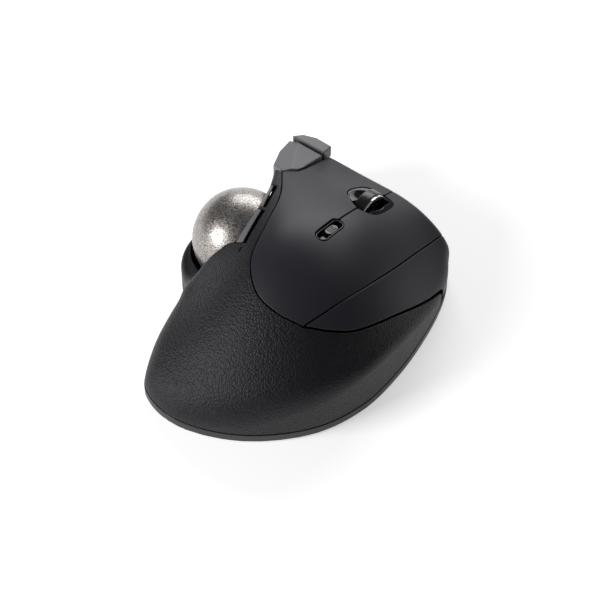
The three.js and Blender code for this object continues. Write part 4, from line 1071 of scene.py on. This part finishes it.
@dataclass
class Shells:
    """Palm shell, split top plate, ring finger panel, thumb buttons and the case's outer wall."""

    shop: Workshop
    seams: Seams
    sheet: Sheet
    wall: float = 1.3
    rounding: float = 0.4
    box: tuple[Array, Array] = (np.zeros(3), np.zeros(3))

    def build(self) -> None:
        """Builds and dresses every shell."""
        self.band()
        self.palm()
        self.plate_halves()
        self.panel()
        self.blades()
        self.slot_shade_liner()
        self.keys()

    def palm(self) -> None:
        """Palm shell, with its grain fading towards the ball, the strip and the lip."""
        cut = self.sheet.measured(self.seams.palm).cut()
        piece = cut.shell("palm_cover", 1.6, self.rounding, (BALL, PALM_KEEP_OUT))
        p = piece.points
        strip = outline_distance(self.seams.plate_outline, p[:, 0], p[:, 1])
        ball = np.linalg.norm(p - BALL, axis=1) - 24.5
        fade = np.clip(ball / 9, 0, 1) * np.clip((strip - 0.5) / 5 + np.clip((-4 - p[:, 1]) / 14, 0, 1), 0, 1)
        piece.values["grain"] = fade
        made = self.shop.make(piece, GRAINED.material())
        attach(made, Body.CASE.value)
        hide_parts("palm_shell")

    def plate_halves(self) -> None:
        """The plate's two halves, one each side of the line of the slit."""
        halves = ((1, Body.LEFT, ("left_button", "top_plate")), (-1, Body.RIGHT, ("right_button",)))
        for side, body, nodes in halves:
            cut = self.sheet.measured(self.seams.plate_half(side)).cut()
            cut = cut.half(lambda p, s=side: s * (p[:, 0] - self.seams.slit_x))
            made = self.shop.make(cut.shell(f"{body.value}_cover", self.wall, 0.35), SATIN.material())
            start = self.shop.metres(np.array([0, 7.0, 50.0])).tolist()
            end = self.shop.metres(np.array([0, 22.0, 50.0])).tolist()
            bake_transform(made)
            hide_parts(*nodes)

    def panel(self) -> None:
        """Ring finger panel."""
        cut = self.sheet.measured(self.seams.panel).cut()
        made = self.shop.make(cut.shell("ring_finger_cover", 0.7, self.rounding), SATIN.material())
        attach(made, Body.RING.value)
        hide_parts("ring_finger_button")

    def blades(self) -> None:
        """The two thumb buttons over the ball."""
        for body in self.seams.edges:
            cut = self.sheet.measured(self.seams.blade(body)).cut()
            piece = cut.shell(f"{body.value}_blade", 0.8, 0.3, (BALL, BLADE_KEEP_OUT))
            made = self.shop.make(piece, KEY_SATIN.material())
            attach(made, body.value)
            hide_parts(body.value)

    def keys(self) -> None:
        """The two function keys: faceted caps with rounded edges."""
        rear = [((-31, 42.5, 45), (0, 0.4, 1)), ((-34.4, 42.1, 45.1), (-0.48, 0.13, 1))]
        front = [((-31, 62.1, 38.3), (-0.03, 0.12, 1))]
        long = [(-36.2, 37.6), (-30.9, 42.5), (-30.3, 46), (-31, 61.7)]
        long += [(-50.6, 61.7), (-49.3, 52), (-44.5, 41)]
        short = [(-31, 61.8), (-31, 68.6), (-40, 69.0), (-46.4, 66.8), (-50.6, 61.8)]
        outlines = {Body.REAR_KEY: (long, rear), Body.FRONT_KEY: (short, front)}
        for body, (outline, facets) in outlines.items():
            local = KeyBlock(plan=np.array(outline), facets=facets).sheet(count=190)
            cap = local.measured(lambda p: KEY_FOOT - p[:, 2]).cut().shell(f"{body.value}_cap", 1.2, 0.3)
            made = self.shop.make(cap, KEY_SATIN.material())
            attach(made, body.value)
            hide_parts(body.value)

    def band(self) -> None:
        """Smooth outer face of the bottom case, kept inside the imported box."""
        proud = Sheet(self.sheet.points + 0.15 * self.sheet.normals, self.sheet.normals, self.sheet.triangles)
        piece = proud.measured(self.seams.band).cut().shell("case_band", 0.5, 0.25)
        piece.points = np.clip(piece.points, self.box[0] + 0.001, self.box[1] - 0.001)
        made = self.shop.make(piece, BASE.material())
        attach(made, Body.CASE.value)

    def slot_shade_liner(self) -> None:
        """Painted shade: a near-black, barely reflective sheet a little below the skin, under the thumb
        buttons' slots.
        """
        sunk = Sheet(self.sheet.points - 1.8 * self.sheet.normals, self.sheet.normals, self.sheet.triangles)

        def region(p: Array) -> Array:
            """Distance to the painted-shade sheet."""
            outline = np.array([(-28.5, 29.5), (-60, 29.5), (-60, -9), (-19.5, -9)])
            plan = outline_distance(outline, p[:, 0], p[:, 1])
            return np.maximum.reduce([plan, 30.0 - p[:, 2], LINER_LIFT_ROOM - self.seams.lift_distance(p)])

        # The sheet gets the near-black finish that paints the shade inside the slots.
        piece = sunk.measured(region).cut().shell("slot_backing", 0.4, 0.1, (BALL, LINER_KEEP_OUT))
        made = self.shop.make(piece, SLOT_SHADE.material())
        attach(made, Body.CASE.value)


# ---- turned and stadium pieces -----------------------------------------------------------------


class Turning:
    """Lathe and loft helpers for round and stadium-shaped pieces."""

    def lathe(self, name: str, profile: Array, centre: Array, axis: Array, sides: int = 128) -> Piece:
        """A closed turned piece.

        Args:
            name: piece name.
            profile: closed loop of (radius, along) pairs.
            centre: point on the axis where along is zero.
            axis: direction of the axis.
            sides: segments around.

        Returns:
            The piece.
        """
        axis = np.asarray(axis, float) / np.linalg.norm(axis)
        helper = np.array([0.0, 0.0, 1.0]) if abs(axis[2]) < 0.9 else np.array([1.0, 0.0, 0.0])
        u = np.cross(axis, helper)
        u /= np.linalg.norm(u)
        v = np.cross(axis, u)
        angle = np.arange(sides) / sides * 2 * math.pi
        ring = np.cos(angle)[:, None] * u + np.sin(angle)[:, None] * v
        r, along = profile[:, 0], profile[:, 1]
        points = centre + ring[:, None, :] * r[None, :, None] + axis * along[None, :, None]
        count = len(profile)
        faces = []
        for i in range(sides):
            j = (i + 1) % sides
            for k in range(count):
                m = (k + 1) % count
                faces.append((i * count + k, i * count + m, j * count + m, j * count + k))
        return Piece(name, points.reshape(-1, 3), faces)

    def loft(self, name: str, rings: list[Array]) -> Piece:
        """Rings of equal size joined in order and closed by a cap at each end.

        Args:
            name: piece name.
            rings: outlines with the same number of points.

        Returns:
            The piece.
        """
        count = len(rings[0])
        faces: list = []
        for level in range(len(rings) - 1):
            a, b = level * count, (level + 1) * count
            for i in range(count):
                j = (i + 1) % count
                faces.append((a + i, a + j, b + j, b + i))
        last = (len(rings) - 1) * count
        faces.append(tuple(range(last, last + count)))
        faces.append(tuple(range(count))[::-1])
        return Piece(name, np.vstack(rings), faces)


def rounded_loop(corners: list[tuple[float, float, float]], steps: int = 6) -> Array:
    """Closed loop with rounded corners.

    Args:
        corners: (x, y, radius) for each corner, in order.
        steps: segments in each rounded corner.

    Returns:
        Points of the loop.
    """
    out = []
    count = len(corners)
    for i, (x, y, radius) in enumerate(corners):
        p = np.array([x, y])
        if radius <= 0:
            out.append(p)
            continue
        a = np.array(corners[i - 1][:2]) - p
        b = np.array(corners[(i + 1) % count][:2]) - p
        a /= np.linalg.norm(a)
        b /= np.linalg.norm(b)
        half = math.acos(float(np.clip(a @ b, -1, 1))) / 2
        reach = radius / math.tan(half)
        middle = p + (a + b) / np.linalg.norm(a + b) * radius / math.sin(half)
        start, end = p + a * reach - middle, p + b * reach - middle
        turn = math.atan2(start[0] * end[1] - start[1] * end[0], float(start @ end))
        for t in np.linspace(0, 1, steps + 1):
            c, s = math.cos(turn * t), math.sin(turn * t)
            out.append(middle + np.array([c * start[0] - s * start[1], s * start[0] + c * start[1]]))
    return np.array(out)


def split_quads(a: Array, b: Array, c: Array, d: Array) -> Array:
    """Two triangles for each four-sided cell of a grid.

    Args:
        a: first corner of each cell.
        b: second corner.
        c: third corner.
        d: fourth corner.

    Returns:
        Triangles, one row each.
    """
    first = np.stack([a, b, c], -1).reshape(-1, 3)
    second = np.stack([a, c, d], -1).reshape(-1, 3)
    return np.vstack([first, second])


@dataclass
class BallSet:
    """The ball and the glossy cup that holds it."""

    shop: Workshop
    seams: Seams

    def build(self) -> None:
        """Builds the ball and its cup."""
        self.ball()
        self.cup()

    def ball(self) -> None:
        """The speckled ball."""
        shape = bmesh.new()
        bmesh.ops.create_icosphere(shape, subdivisions=6, radius=BALL_RADIUS)
        points = np.array([v.co[:] for v in shape.verts])
        shape.verts.index_update()
        faces = [[v.index for v in f.verts] for f in shape.faces]
        shape.free()
        ways = points / np.linalg.norm(points, axis=1, keepdims=True)
        made = self.shop.make(Piece("speckled_ball", BALL + points, faces, ways), SILVER.material())
        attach(made, Body.BALL.value)
        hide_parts("ball")

    def cup(self) -> None:
        """The cup's thin glossy wall, open along the ball's way out."""
        side = np.cross(LIFT, [0, 0, 1.0])
        side /= np.linalg.norm(side)
        other = np.cross(LIFT, side)
        around = np.linspace(0, 2 * math.pi, 241)[:-1]
        ring = np.cos(around)[:, None] * side + np.sin(around)[:, None] * other
        steps = [(-math.cos(t), math.sin(t)) for t in np.linspace(0.02, math.pi / 2, 60)]
        steps += [(t, 1.0) for t in np.linspace(0.02, 1.1, 60)]
        rows = np.array(steps)
        along, out = rows[:, 0], rows[:, 1]
        points = BALL + CUP_RADIUS * (ring[:, None, :] * out[None, :, None] + LIFT * along[None, :, None])
        normals = ring[:, None, :] * out[None, :, None] + LIFT * np.minimum(along, 0)[None, :, None]
        count, sides = len(rows), len(ring)
        index = np.arange(sides * count).reshape(sides, count)
        a, b = index[:, :-1], index[:, 1:]
        c, d = np.roll(index, -1, 0)[:, 1:], np.roll(index, -1, 0)[:, :-1]
        triangles = split_quads(a, b, c, d)
        sheet = Sheet(points.reshape(-1, 3), -normals.reshape(-1, 3), triangles)
        hole = 4.0

        def inside(p: Array) -> Array:
            """Distance to the part of the cup under the skin and clear of the blades."""
            skin = self.seams.skin.field(p) + 0.12
            push = hole - np.hypot(p[:, 0] - BALL[0], p[:, 1] - BALL[1])
            push = np.where(p[:, 2] < BALL[2], push, -9.0)
            blade = -self.blade_room(p)
            return np.maximum.reduce([skin, push, blade, 1.2 - p[:, 2]])

        cut = sheet.measured(inside).cut()
        made = self.shop.make(cut.shell("ball_cup_wall", 0.6, 0.2), GLOSS.material())
        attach(made, Body.CASE.value)
        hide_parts("ball_cup")

    def blade_room(self, p: Array) -> Array:
        """Region that the thumb buttons need above the cup."""
        rooms = []
        for front, rear in self.seams.edges.values():
            top, foot = front[1] + 0.6, rear[1] - 0.6
            outline = np.array([(front[0] + 1, top), (-70, top), (-70, foot), (rear[0] + 1, foot)])
            rooms.append(np.maximum(outline_distance(outline, p[:, 0], p[:, 1]), 36.0 - p[:, 2]))
        return np.minimum.reduce(rooms)


@dataclass
class WheelSet:
    """Scroll wheel and the glossy bowl around it."""

    shop: Workshop
    seams: Seams

    def build(self) -> None:
        """Builds the tyre, the bright ring, the hub and the bowl."""
        turning = Turning()
        x, y = self.seams.wheel
        centre = np.array([x - WHEEL_SHIFT, y, self.seams.wheel_z])
        axis = np.array([1.0, 0, 0])
        tyre = rounded_loop([(8.5, 0, 0.2), (10.5, 0, 1.1), (10.5, 5, 0.5), (8.5, 5, 0.2)], 8)
        ring = rounded_loop([(9.25, 5.15, 0.1), (9.8, 5.15, 0.15), (9.8, 5.95, 0.2), (9.25, 5.95, 0.15)], 6)
        rim = [(1.4, 0, 0.2), (8.2, 0, 0.4), (8.2, 5.1, 0.1), (9.15, 5.1, 0.1), (9.15, 5.85, 0.2)]
        dish = [(7.1, 5.85, 0.4), (6.8, 4.6, 0.4), (3.2, 4.6, 0.4), (2.8, 5.85, 0.3), (1.4, 5.85, 0.2)]
        hub = rounded_loop(rim + dish, 4)
        turned = (
            ("tyre", tyre, TYRE, "wheel_tyre"),
            ("bright_ring", ring, CHROME, "wheel_ring"),
            ("hub", hub, GLOSS, "wheel_hub"),
        )
        for name, loop, finish, node in turned:
            piece = turning.lathe(f"wheel_{name}_turned", loop, centre, axis)
            made = self.shop.make(piece, finish.material(), ROUND_PIECE_SHARP)
            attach(made, Body.WHEEL.value)
            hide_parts(node)
        self.bowl()

    def bowl(self) -> None:
        """Glossy dished insert that fills the opening in front of and beside the wheel."""
        skin = self.seams.skin
        low = self.seams.opening.min(0) - 1
        high = self.seams.opening.max(0) + 1
        xs, ys = np.arange(low[0], high[0], 0.2), np.arange(low[1], high[1], 0.2)
        gx, gy = np.meshgrid(xs, ys, indexing="ij")
        z = skin.top(gx.ravel(), gy.ravel()) - 0.4
        wheel_x, wheel_y = self.seams.wheel
        slope = float(skin.crown(wheel_x, wheel_y + 5) - skin.crown(wheel_x, wheel_y - 5)) / 10
        cx, cy = 2.2, 48.8
        cz = float(skin.crown(cx, cy)) + 0.2
        share = 1 - ((gx.ravel() - cx) / 8.1) ** 2 - ((gy.ravel() - cy) / 9.0) ** 2
        dish = cz + slope * (gy.ravel() - cy) - 3.2 * np.sqrt(np.maximum(share, 0))
        surface = np.where(share > 0, -smooth_max(-z, -dish, 0.5), z)
        points = np.stack([gx.ravel(), gy.ravel(), surface], -1)
        index = np.arange(gx.size).reshape(gx.shape)
        a, b, c, d = index[:-1, :-1], index[1:, :-1], index[1:, 1:], index[:-1, 1:]
        triangles = split_quads(a, b, c, d)
        dx = np.gradient(surface.reshape(gx.shape), 0.2, axis=0).ravel()
        dy = np.gradient(surface.reshape(gx.shape), 0.2, axis=1).ravel()
        normals = np.stack([-dx, -dy, np.ones_like(dx)], -1)
        normals /= np.linalg.norm(normals, axis=1, keepdims=True)
        sheet = Sheet(points, normals, triangles)

        def inside(p: Array) -> Array:
            """Distance to the insert's outline, less the wheel's slot."""
            outline = outline_distance(self.seams.opening, p[:, 0], p[:, 1]) + 0.25
            across = np.abs(p[:, 0] - wheel_x) - 5.0
            slot = np.maximum(across, np.hypot(p[:, 1] - wheel_y, p[:, 2] - self.seams.wheel_z) - 11.3)
            return np.maximum.reduce([outline, -slot, 41.4 - p[:, 1]])

        cut = sheet.measured(inside).cut()
        made = self.shop.make(cut.shell("wheel_bowl_insert", 1.2, 0.25), GLOSS.material())
        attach(made, Body.CASE.value)
        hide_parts("wheel_bowl")


@dataclass
class ModeSwitch:
    """Sliding mode switch in its glossy stadium recess, with a small window behind the slider."""

    shop: Workshop
    seams: Seams
    repeater: Repeater

    def placed(self, outline: Array, height: float) -> Array:
        """An outline lifted above the plate and tilted with it.

        Args:
            outline: the outline in the switch's own plan.
            height: height over the plate, negative below it.

        Returns:
            Points in the mouse's axes.
        """
        c, s = math.cos(self.seams.mode_tilt), math.sin(self.seams.mode_tilt)
        x, y = outline[:, 0], outline[:, 1]
        return self.seams.mode + np.stack([x, c * y - s * height, s * y + c * height], -1)

    def build(self) -> None:
        """Builds recess, slider and window."""
        turning = Turning()
        outer = [(2.85, -3.6), (2.85, -0.75), (2.8, -0.55), (2.66, -0.42), (2.48, -0.4)]
        inner = [(2.32, -0.5), (2.24, -0.7), (2.2, -1.0), (2.16, -2.6), (1.98, -2.8)]
        rings = [self.placed(stadium(0, 0, self.seams.mode_reach, r), z) for r, z in outer + inner]
        recess = turning.loft("mode_recess_liner", rings)
        made = self.shop.make(recess, GLOSS.material(), ROUND_PIECE_SHARP)
        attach(made, Body.CASE.value)
        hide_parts("mode_switch_recess")
        side = [(1.9, -2.05), (1.9, -1.25), (1.86, -1.08), (1.74, -0.95)]
        crown = [(1.55, -0.9), (1.2, -0.96), (0.8, -1.0)]
        rings = [self.placed(stadium(0, 1.4, 3.6, r), z) for r, z in side + crown]
        knob = turning.loft("mode_slider_knob", rings)
        made = self.shop.make(knob, GLOSS.material(), ROUND_PIECE_SHARP)
        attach(made, Body.MODE.value)
        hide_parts("mode_slider")
        around = np.linspace(0, 2 * math.pi, 10)[:-1]
        ends = ((-1.5, 0.3), (-1.4, 0.8), (-1.25, 1), (1.25, 1), (1.4, 0.8), (1.5, 0.3))
        rings = [
            np.column_stack([np.full(len(around), x), 0.2 * r * np.cos(around), 0.28 * r * np.sin(around)])
            for x, r in ends
        ]
        ridge = turning.loft("mode_ridge_part", rings)
        places = np.vstack([self.placed(np.array([[0.0, y]]), -1.0) for y in (-0.1, 1.0, 2.1, 3.2)])
        tilt = (self.seams.mode_tilt, 0, 0)
        made = self.repeater.repeat("mode_slider_ridges", ridge, places, (0, 0, 0), GLOSS, base=tilt)
        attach(made, Body.MODE.value)
        steps = [(1.1, -2.7), (1.1, -2.3), (1.04, -2.24), (0.95, -2.2)]
        rings = [self.placed(stadium(0, -4.4, 0.6, r), z) for r, z in steps]
        window = turning.loft("mode_window_lens", rings)
        made = self.shop.make(window, SMOKED.material(), ROUND_PIECE_SHARP)
        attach(made, Body.CASE.value)
        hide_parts("mode_window")


@dataclass
class Repeater:
    """Copies a small part to many places with a node tree, then turns the result into one mesh."""

    shop: Workshop

    def tree(self) -> bpy.types.GeometryNodeTree:
        """The node tree with its named inputs, made once."""
        known = bpy.data.node_groups.get("repeat_part")
        if known is not None:
            return known
        tree = bpy.data.node_groups.new("repeat_part", "GeometryNodeTree")
        face = tree.interface
        face.new_socket("Places", in_out="INPUT", socket_type="NodeSocketGeometry")
        face.new_socket("Part", in_out="INPUT", socket_type="NodeSocketObject")
        face.new_socket("Base", in_out="INPUT", socket_type="NodeSocketVector")
        face.new_socket("Turn", in_out="INPUT", socket_type="NodeSocketVector")
        face.new_socket("Spin", in_out="INPUT", socket_type="NodeSocketFloat")
        face.new_socket("Seed", in_out="INPUT", socket_type="NodeSocketInt")
        face.new_socket("Material", in_out="INPUT", socket_type="NodeSocketMaterial")
        face.new_socket("Mesh", in_out="OUTPUT", socket_type="NodeSocketGeometry")
        nodes, links = tree.nodes, tree.links
        inputs = nodes.new("NodeGroupInput").outputs
        info = nodes.new("GeometryNodeObjectInfo")
        links.new(inputs["Part"], info.inputs["Object"])
        index = nodes.new("GeometryNodeInputIndex")
        turn = nodes.new("ShaderNodeVectorMath")
        turn.operation = "SCALE"
        links.new(inputs["Turn"], turn.inputs[0])
        links.new(index.outputs["Index"], turn.inputs["Scale"])
        spin = nodes.new("FunctionNodeRandomValue")
        spin.data_type = "FLOAT"
        spin_inputs = [s for s in spin.inputs if s.enabled]
        spin_output = [s for s in spin.outputs if s.enabled][0]
        links.new(inputs["Spin"], spin_inputs[1])
        links.new(inputs["Seed"], spin.inputs["Seed"])
        around = nodes.new("ShaderNodeCombineXYZ")
        links.new(spin_output, around.inputs["Z"])
        total = nodes.new("ShaderNodeVectorMath")
        total.operation = "ADD"
        links.new(turn.outputs["Vector"], total.inputs[0])
        links.new(around.outputs["Vector"], total.inputs[1])
        whole = nodes.new("ShaderNodeVectorMath")
        whole.operation = "ADD"
        links.new(total.outputs["Vector"], whole.inputs[0])
        links.new(inputs["Base"], whole.inputs[1])
        copies = nodes.new("GeometryNodeInstanceOnPoints")
        links.new(inputs["Places"], copies.inputs["Points"])
        links.new(info.outputs["Geometry"], copies.inputs["Instance"])
        links.new(whole.outputs["Vector"], copies.inputs["Rotation"])
        real = nodes.new("GeometryNodeRealizeInstances")
        links.new(copies.outputs["Instances"], real.inputs["Geometry"])
        paint = nodes.new("GeometryNodeSetMaterial")
        links.new(real.outputs["Geometry"], paint.inputs["Geometry"])
        links.new(inputs["Material"], paint.inputs["Material"])
        links.new(paint.outputs["Geometry"], nodes.new("NodeGroupOutput").inputs["Mesh"])
        return tree

    def repeat(
        self,
        name: str,
        part: Piece,
        places: Array,
        turn: tuple,
        finish: Finish,
        spin: float = 0.0,
        base: tuple = (0, 0, 0),
        seed: int = 4,
    ) -> bpy.types.Object:
        """One mesh with a copy of the part at each place.

        Args:
            name: name of the finished object.
            part: the part around its own origin, in millimetres.
            places: where the copies go, in the mouse's axes.
            turn: extra turn of each copy over the one before, in radians.
            finish: finish of the copies.
            spin: largest seeded turn about Z.
            base: turn shared by all copies.
            seed: seed of the spin.

        Returns:
            The finished object.
        """
        mesh = bpy.data.meshes.new(part.name)
        mesh.from_pydata((np.asarray(part.points) / 1000).tolist(), [], [list(f) for f in part.faces])
        mesh.update()
        mesh.polygons.foreach_set("use_smooth", np.ones(len(mesh.polygons), bool))
        mesh.set_sharp_from_angle(angle=math.radians(38))
        source = bpy.data.objects.new(part.name, mesh)
        host_mesh = bpy.data.meshes.new(name + "_places")
        host_mesh.from_pydata(self.shop.metres(places).tolist(), [], [])
        host = bpy.data.objects.new(name + "_places", host_mesh)
        for made in (source, host):
            bpy.context.scene.collection.objects.link(made)
        modifier = host.modifiers.new("repeat", "NODES")
        modifier.node_group = self.tree()
        values = {
            "Part": source,
            "Base": base,
            "Turn": turn,
            "Spin": spin,
            "Seed": seed,
            "Material": finish.material(),
        }
        for socket in modifier.node_group.interface.items_tree:
            if socket.in_out == "INPUT" and socket.name in values:
                modifier[socket.identifier] = values[socket.name]
        view = bpy.context.evaluated_depsgraph_get()
        finished = bpy.data.meshes.new_from_object(host.evaluated_get(view), depsgraph=view)
        finished.name = name
        host.modifiers.remove(modifier)
        for spent in (host, source):
            bpy.data.objects.remove(spent)
        made = bpy.data.objects.new(name, finished)
        bpy.context.scene.collection.objects.link(made)
        LOG.info("%s: %d faces", name, len(finished.polygons))
        return made


@dataclass
class Details:
    """Small repeated parts: the ribs of the wheel's hub and the heads of the case screws."""

    shop: Workshop
    seams: Seams
    repeater: Repeater

    def build(self) -> None:
        """Builds every repeated detail."""
        self.hub_ribs()
        self.screw_heads()

    def hub_ribs(self) -> None:
        """Ribs in the recess of the wheel's hub."""
        corners = [(4.55, -0.35), (5.6, -0.35), (5.6, 0.35), (4.55, 0.35)]
        rings = [np.array([(x, r, z) for x, z in corners]) for r in (3.35, 6.0)]
        part = Turning().loft("hub_rib_part", rings)
        centre = np.array([self.seams.wheel[0] - WHEEL_SHIFT, self.seams.wheel[1], self.seams.wheel_z])
        count = 10
        places = np.repeat(centre[None], count, 0)
        made = self.repeater.repeat("wheel_hub_ribs", part, places, (2 * math.pi / count, 0, 0), INNER)
        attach(made, Body.WHEEL.value)

    def screw_heads(self) -> None:
        """Cross-recess heads of the four case screws."""
        part = self._head()
        places = np.array([(x, y, 1.65) for x, y in ((-36, 54), (27, 50), (-24, -44), (34, -26))], float)
        made = self.repeater.repeat("case_screw_heads", part, places, (0, 0, 0), STEEL, spin=3.0)
        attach(made, Body.CASE.value)

    def _head(self) -> Piece:
        """Low domed head with a cross recess, facing down."""
        sides = 32
        around = np.arange(sides) / sides * 2 * math.pi
        cross = np.where(np.abs(np.sin(2 * around)) < 0.42, 1.25, 0.42)
        circle = np.column_stack([np.cos(around), np.sin(around)])
        rings = []
        for radius, height in ((2.4, 0.9), (2.5, 0.2), (2.42, 0.0), (2.1, -0.18), (1.7, -0.28)):
            rings.append(np.column_stack([circle * radius, np.full(sides, height)]))
        rings.append(np.column_stack([circle * (cross * 1.05)[:, None], np.full(sides, -0.32)]))
        rings.append(np.column_stack([circle * (cross * 0.8)[:, None], np.full(sides, 0.45)]))
        return Turning().loft("screw_head_part", rings)


@dataclass
class Carried:
    """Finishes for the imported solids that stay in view."""

    frame: dict
    finishes: dict[str, Finish] = field(
        default_factory=lambda: {
            "bottom_case": BASE,
            "battery_door": BASE,
            "power_slider": KEY_SATIN,
            "pairing_button": KEY_SATIN,
            "sensor_lens": CLEAR,
            "wheel_axle": STEEL,
            "light_guide": GLOSS,
            "cell": CELL,
            "contact_plate": STEEL,
            "contact_spring": STEEL,
            "wheel_carriage": INNER,
            "tilt_cradle": INNER,
            "encoder_emitter": GLOSS,
            "encoder_receiver": GLOSS,
            "switch_frame": INNER,
        }
    )

    def build(self) -> None:
        """Paints each carried solid by name, or by what its name says it is."""
        words = {
            "foot_": GLIDE,
            "screw_": STEEL,
            "support_ball": BEARING,
            "board": RESIST,
            "switch": SWITCHES,
            "chip": GLOSS,
        }
        for name, node in self.frame["nodes"].items():
            finish = self.finishes.get(name)
            if finish is None:
                finish = next((f for word, f in words.items() if word in name), INNER)
            node.data.materials.clear()
            node.data.materials.append(finish.material())


# ---- floor, light and camera -------------------------------------------------------------------


@dataclass
class Studio:
    """Pale floor, soft light and the main camera."""

    shop: Workshop
    target: tuple[float, float, float] = (-2.5, 3.85, 25.0)
    azimuth: float = 37.0
    elevation: float = 52.0
    distance: float = 850.0
    lens: float = 118.8

    def build(self) -> None:
        """Builds the stage."""
        self.floor()
        self.lights()
        self.camera()

    def axes(self) -> tuple[Vector, Vector, Vector]:
        """Right, up and backward directions of the camera."""
        a, e = math.radians(self.azimuth), math.radians(self.elevation)
        back = Vector((math.cos(e) * math.sin(a), -math.cos(e) * math.cos(a), math.sin(e)))
        right = Vector((math.cos(a), math.sin(a), 0.0))
        return right, back.cross(right), back

    def floor(self) -> None:
        """Wide pale floor that fades into the backdrop."""
        size = 6.0
        low = self.shop.metres(np.array([0.0, 0.0, -0.05]))[2]
        mesh = bpy.data.meshes.new("studio_floor")
        corners = [(-size, -size, low), (size, -size, low), (size, size, low), (-size, size, low)]
        mesh.from_pydata(corners, [], [(0, 1, 2, 3)])
        made = bpy.data.objects.new("studio_floor", mesh)
        bpy.context.scene.collection.objects.link(made)
        paper = bpy.data.materials.new("studio_paper")
        paper.use_nodes = True
        tree = paper.node_tree
        shader = tree.nodes["Principled BSDF"]
        shader.inputs["Roughness"].default_value = 0.9
        shader.inputs["Specular IOR Level"].default_value = 0.1
        shader.inputs["Emission Color"].default_value = (1, 1, 1, 1)
        shader.inputs["Emission Strength"].default_value = 0.52
        noise = tree.nodes.new("ShaderNodeTexNoise")
        noise.inputs["Scale"].default_value = 40.0
        tree.links.new(tree.nodes.new("ShaderNodeTexCoord").outputs["Object"], noise.inputs["Vector"])
        mix = tree.nodes.new("ShaderNodeMix")
        mix.data_type = "RGBA"
        mix.inputs["A"].default_value = (0.93, 0.93, 0.93, 1)
        mix.inputs["B"].default_value = (0.95, 0.95, 0.95, 1)
        tree.links.new(noise.outputs["Fac"], mix.inputs["Factor"])
        tree.links.new(mix.outputs["Result"], shader.inputs["Base Color"])
        mesh.materials.append(paper)
        made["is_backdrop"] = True

    def lamp(self, name: str, place: tuple, aim: tuple, size: tuple[float, float], power: float) -> None:
        """One soft rectangular light.

        Args:
            name: name of the light.
            place: where it stands, in metres.
            aim: the point that it faces.
            size: its width and height in metres.
            power: its power in watts.
        """
        data = bpy.data.lights.new(name, "AREA")
        data.shape = "RECTANGLE"
        data.size, data.size_y = size
        data.energy = power
        made = bpy.data.objects.new(name, data)
        made.location = place
        made.rotation_euler = (Vector(aim) - Vector(place)).to_track_quat("-Z", "Y").to_euler()
        bpy.context.scene.collection.objects.link(made)
        made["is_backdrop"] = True

    def lights(self) -> None:
        """Bright surroundings with one large soft key from the left rear."""
        world = bpy.data.worlds.new("studio_surroundings")
        world.use_nodes = True
        world.node_tree.nodes["Background"].inputs["Color"].default_value = (1, 1, 1, 1)
        world.node_tree.nodes["Background"].inputs["Strength"].default_value = 0.12
        bpy.context.scene.world = world
        right, up, back = self.axes()
        aim = Vector((0, 0, 0.03))
        key = aim - right * 0.83 + up * 0.02 + back * 0.55
        self.lamp("key_softbox", tuple(key), tuple(aim), (0.42, 0.42), 7.5)
        front = aim + Vector((-0.38, 0.85, 0.52))
        self.lamp("front_softbox", tuple(front), tuple(aim), (1.0, 0.55), 7.0)

    def camera(self) -> None:
        """Camera at the main angle."""
        right, up, back = self.axes()
        target = Vector(self.shop.metres(np.array(self.target)).tolist())
        data = bpy.data.cameras.new("main_camera")
        data.sensor_width = 36.0
        data.lens = self.lens
        data.shift_x = 0.005
        data.shift_y = -0.025
        made = bpy.data.objects.new("main_camera", data)
        turn = Matrix((right, up, back)).transposed().to_4x4()
        made.matrix_world = Matrix.Translation(target + back * self.distance / 1000) @ turn
        bpy.context.scene.collection.objects.link(made)
        bpy.context.scene.camera = made
        bpy.context.scene.view_settings.view_transform = "Standard"


def main() -> None:
    """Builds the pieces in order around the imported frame."""
    logging.basicConfig(level=logging.INFO, format="%(message)s")
    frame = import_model()
    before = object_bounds()
    low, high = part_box("ball")
    centre = (np.array(low) + np.array(high)) / 2 * 1000
    offset = centre - BALL
    LOG.info("frame offset %s mm", np.round(offset, 3).tolist())
    packed = tuple(np.array(corner) * 1000 - offset for corner in before)
    shop = Workshop(offset, packed[0])
    skin = Skin()
    seams = Seams(skin)
    sheet = skin.sheet()
    LOG.info("skin: %d points", len(sheet.points))
    Carried(frame).build()
    Shells(shop, seams, sheet, box=packed).build()
    BallSet(shop, seams).build()
    WheelSet(shop, seams).build()
    repeater = Repeater(shop)
    ModeSwitch(shop, seams, repeater).build()
    Details(shop, seams, repeater).build()
    Studio(shop).build()


if __name__ == "__main__":
    main()
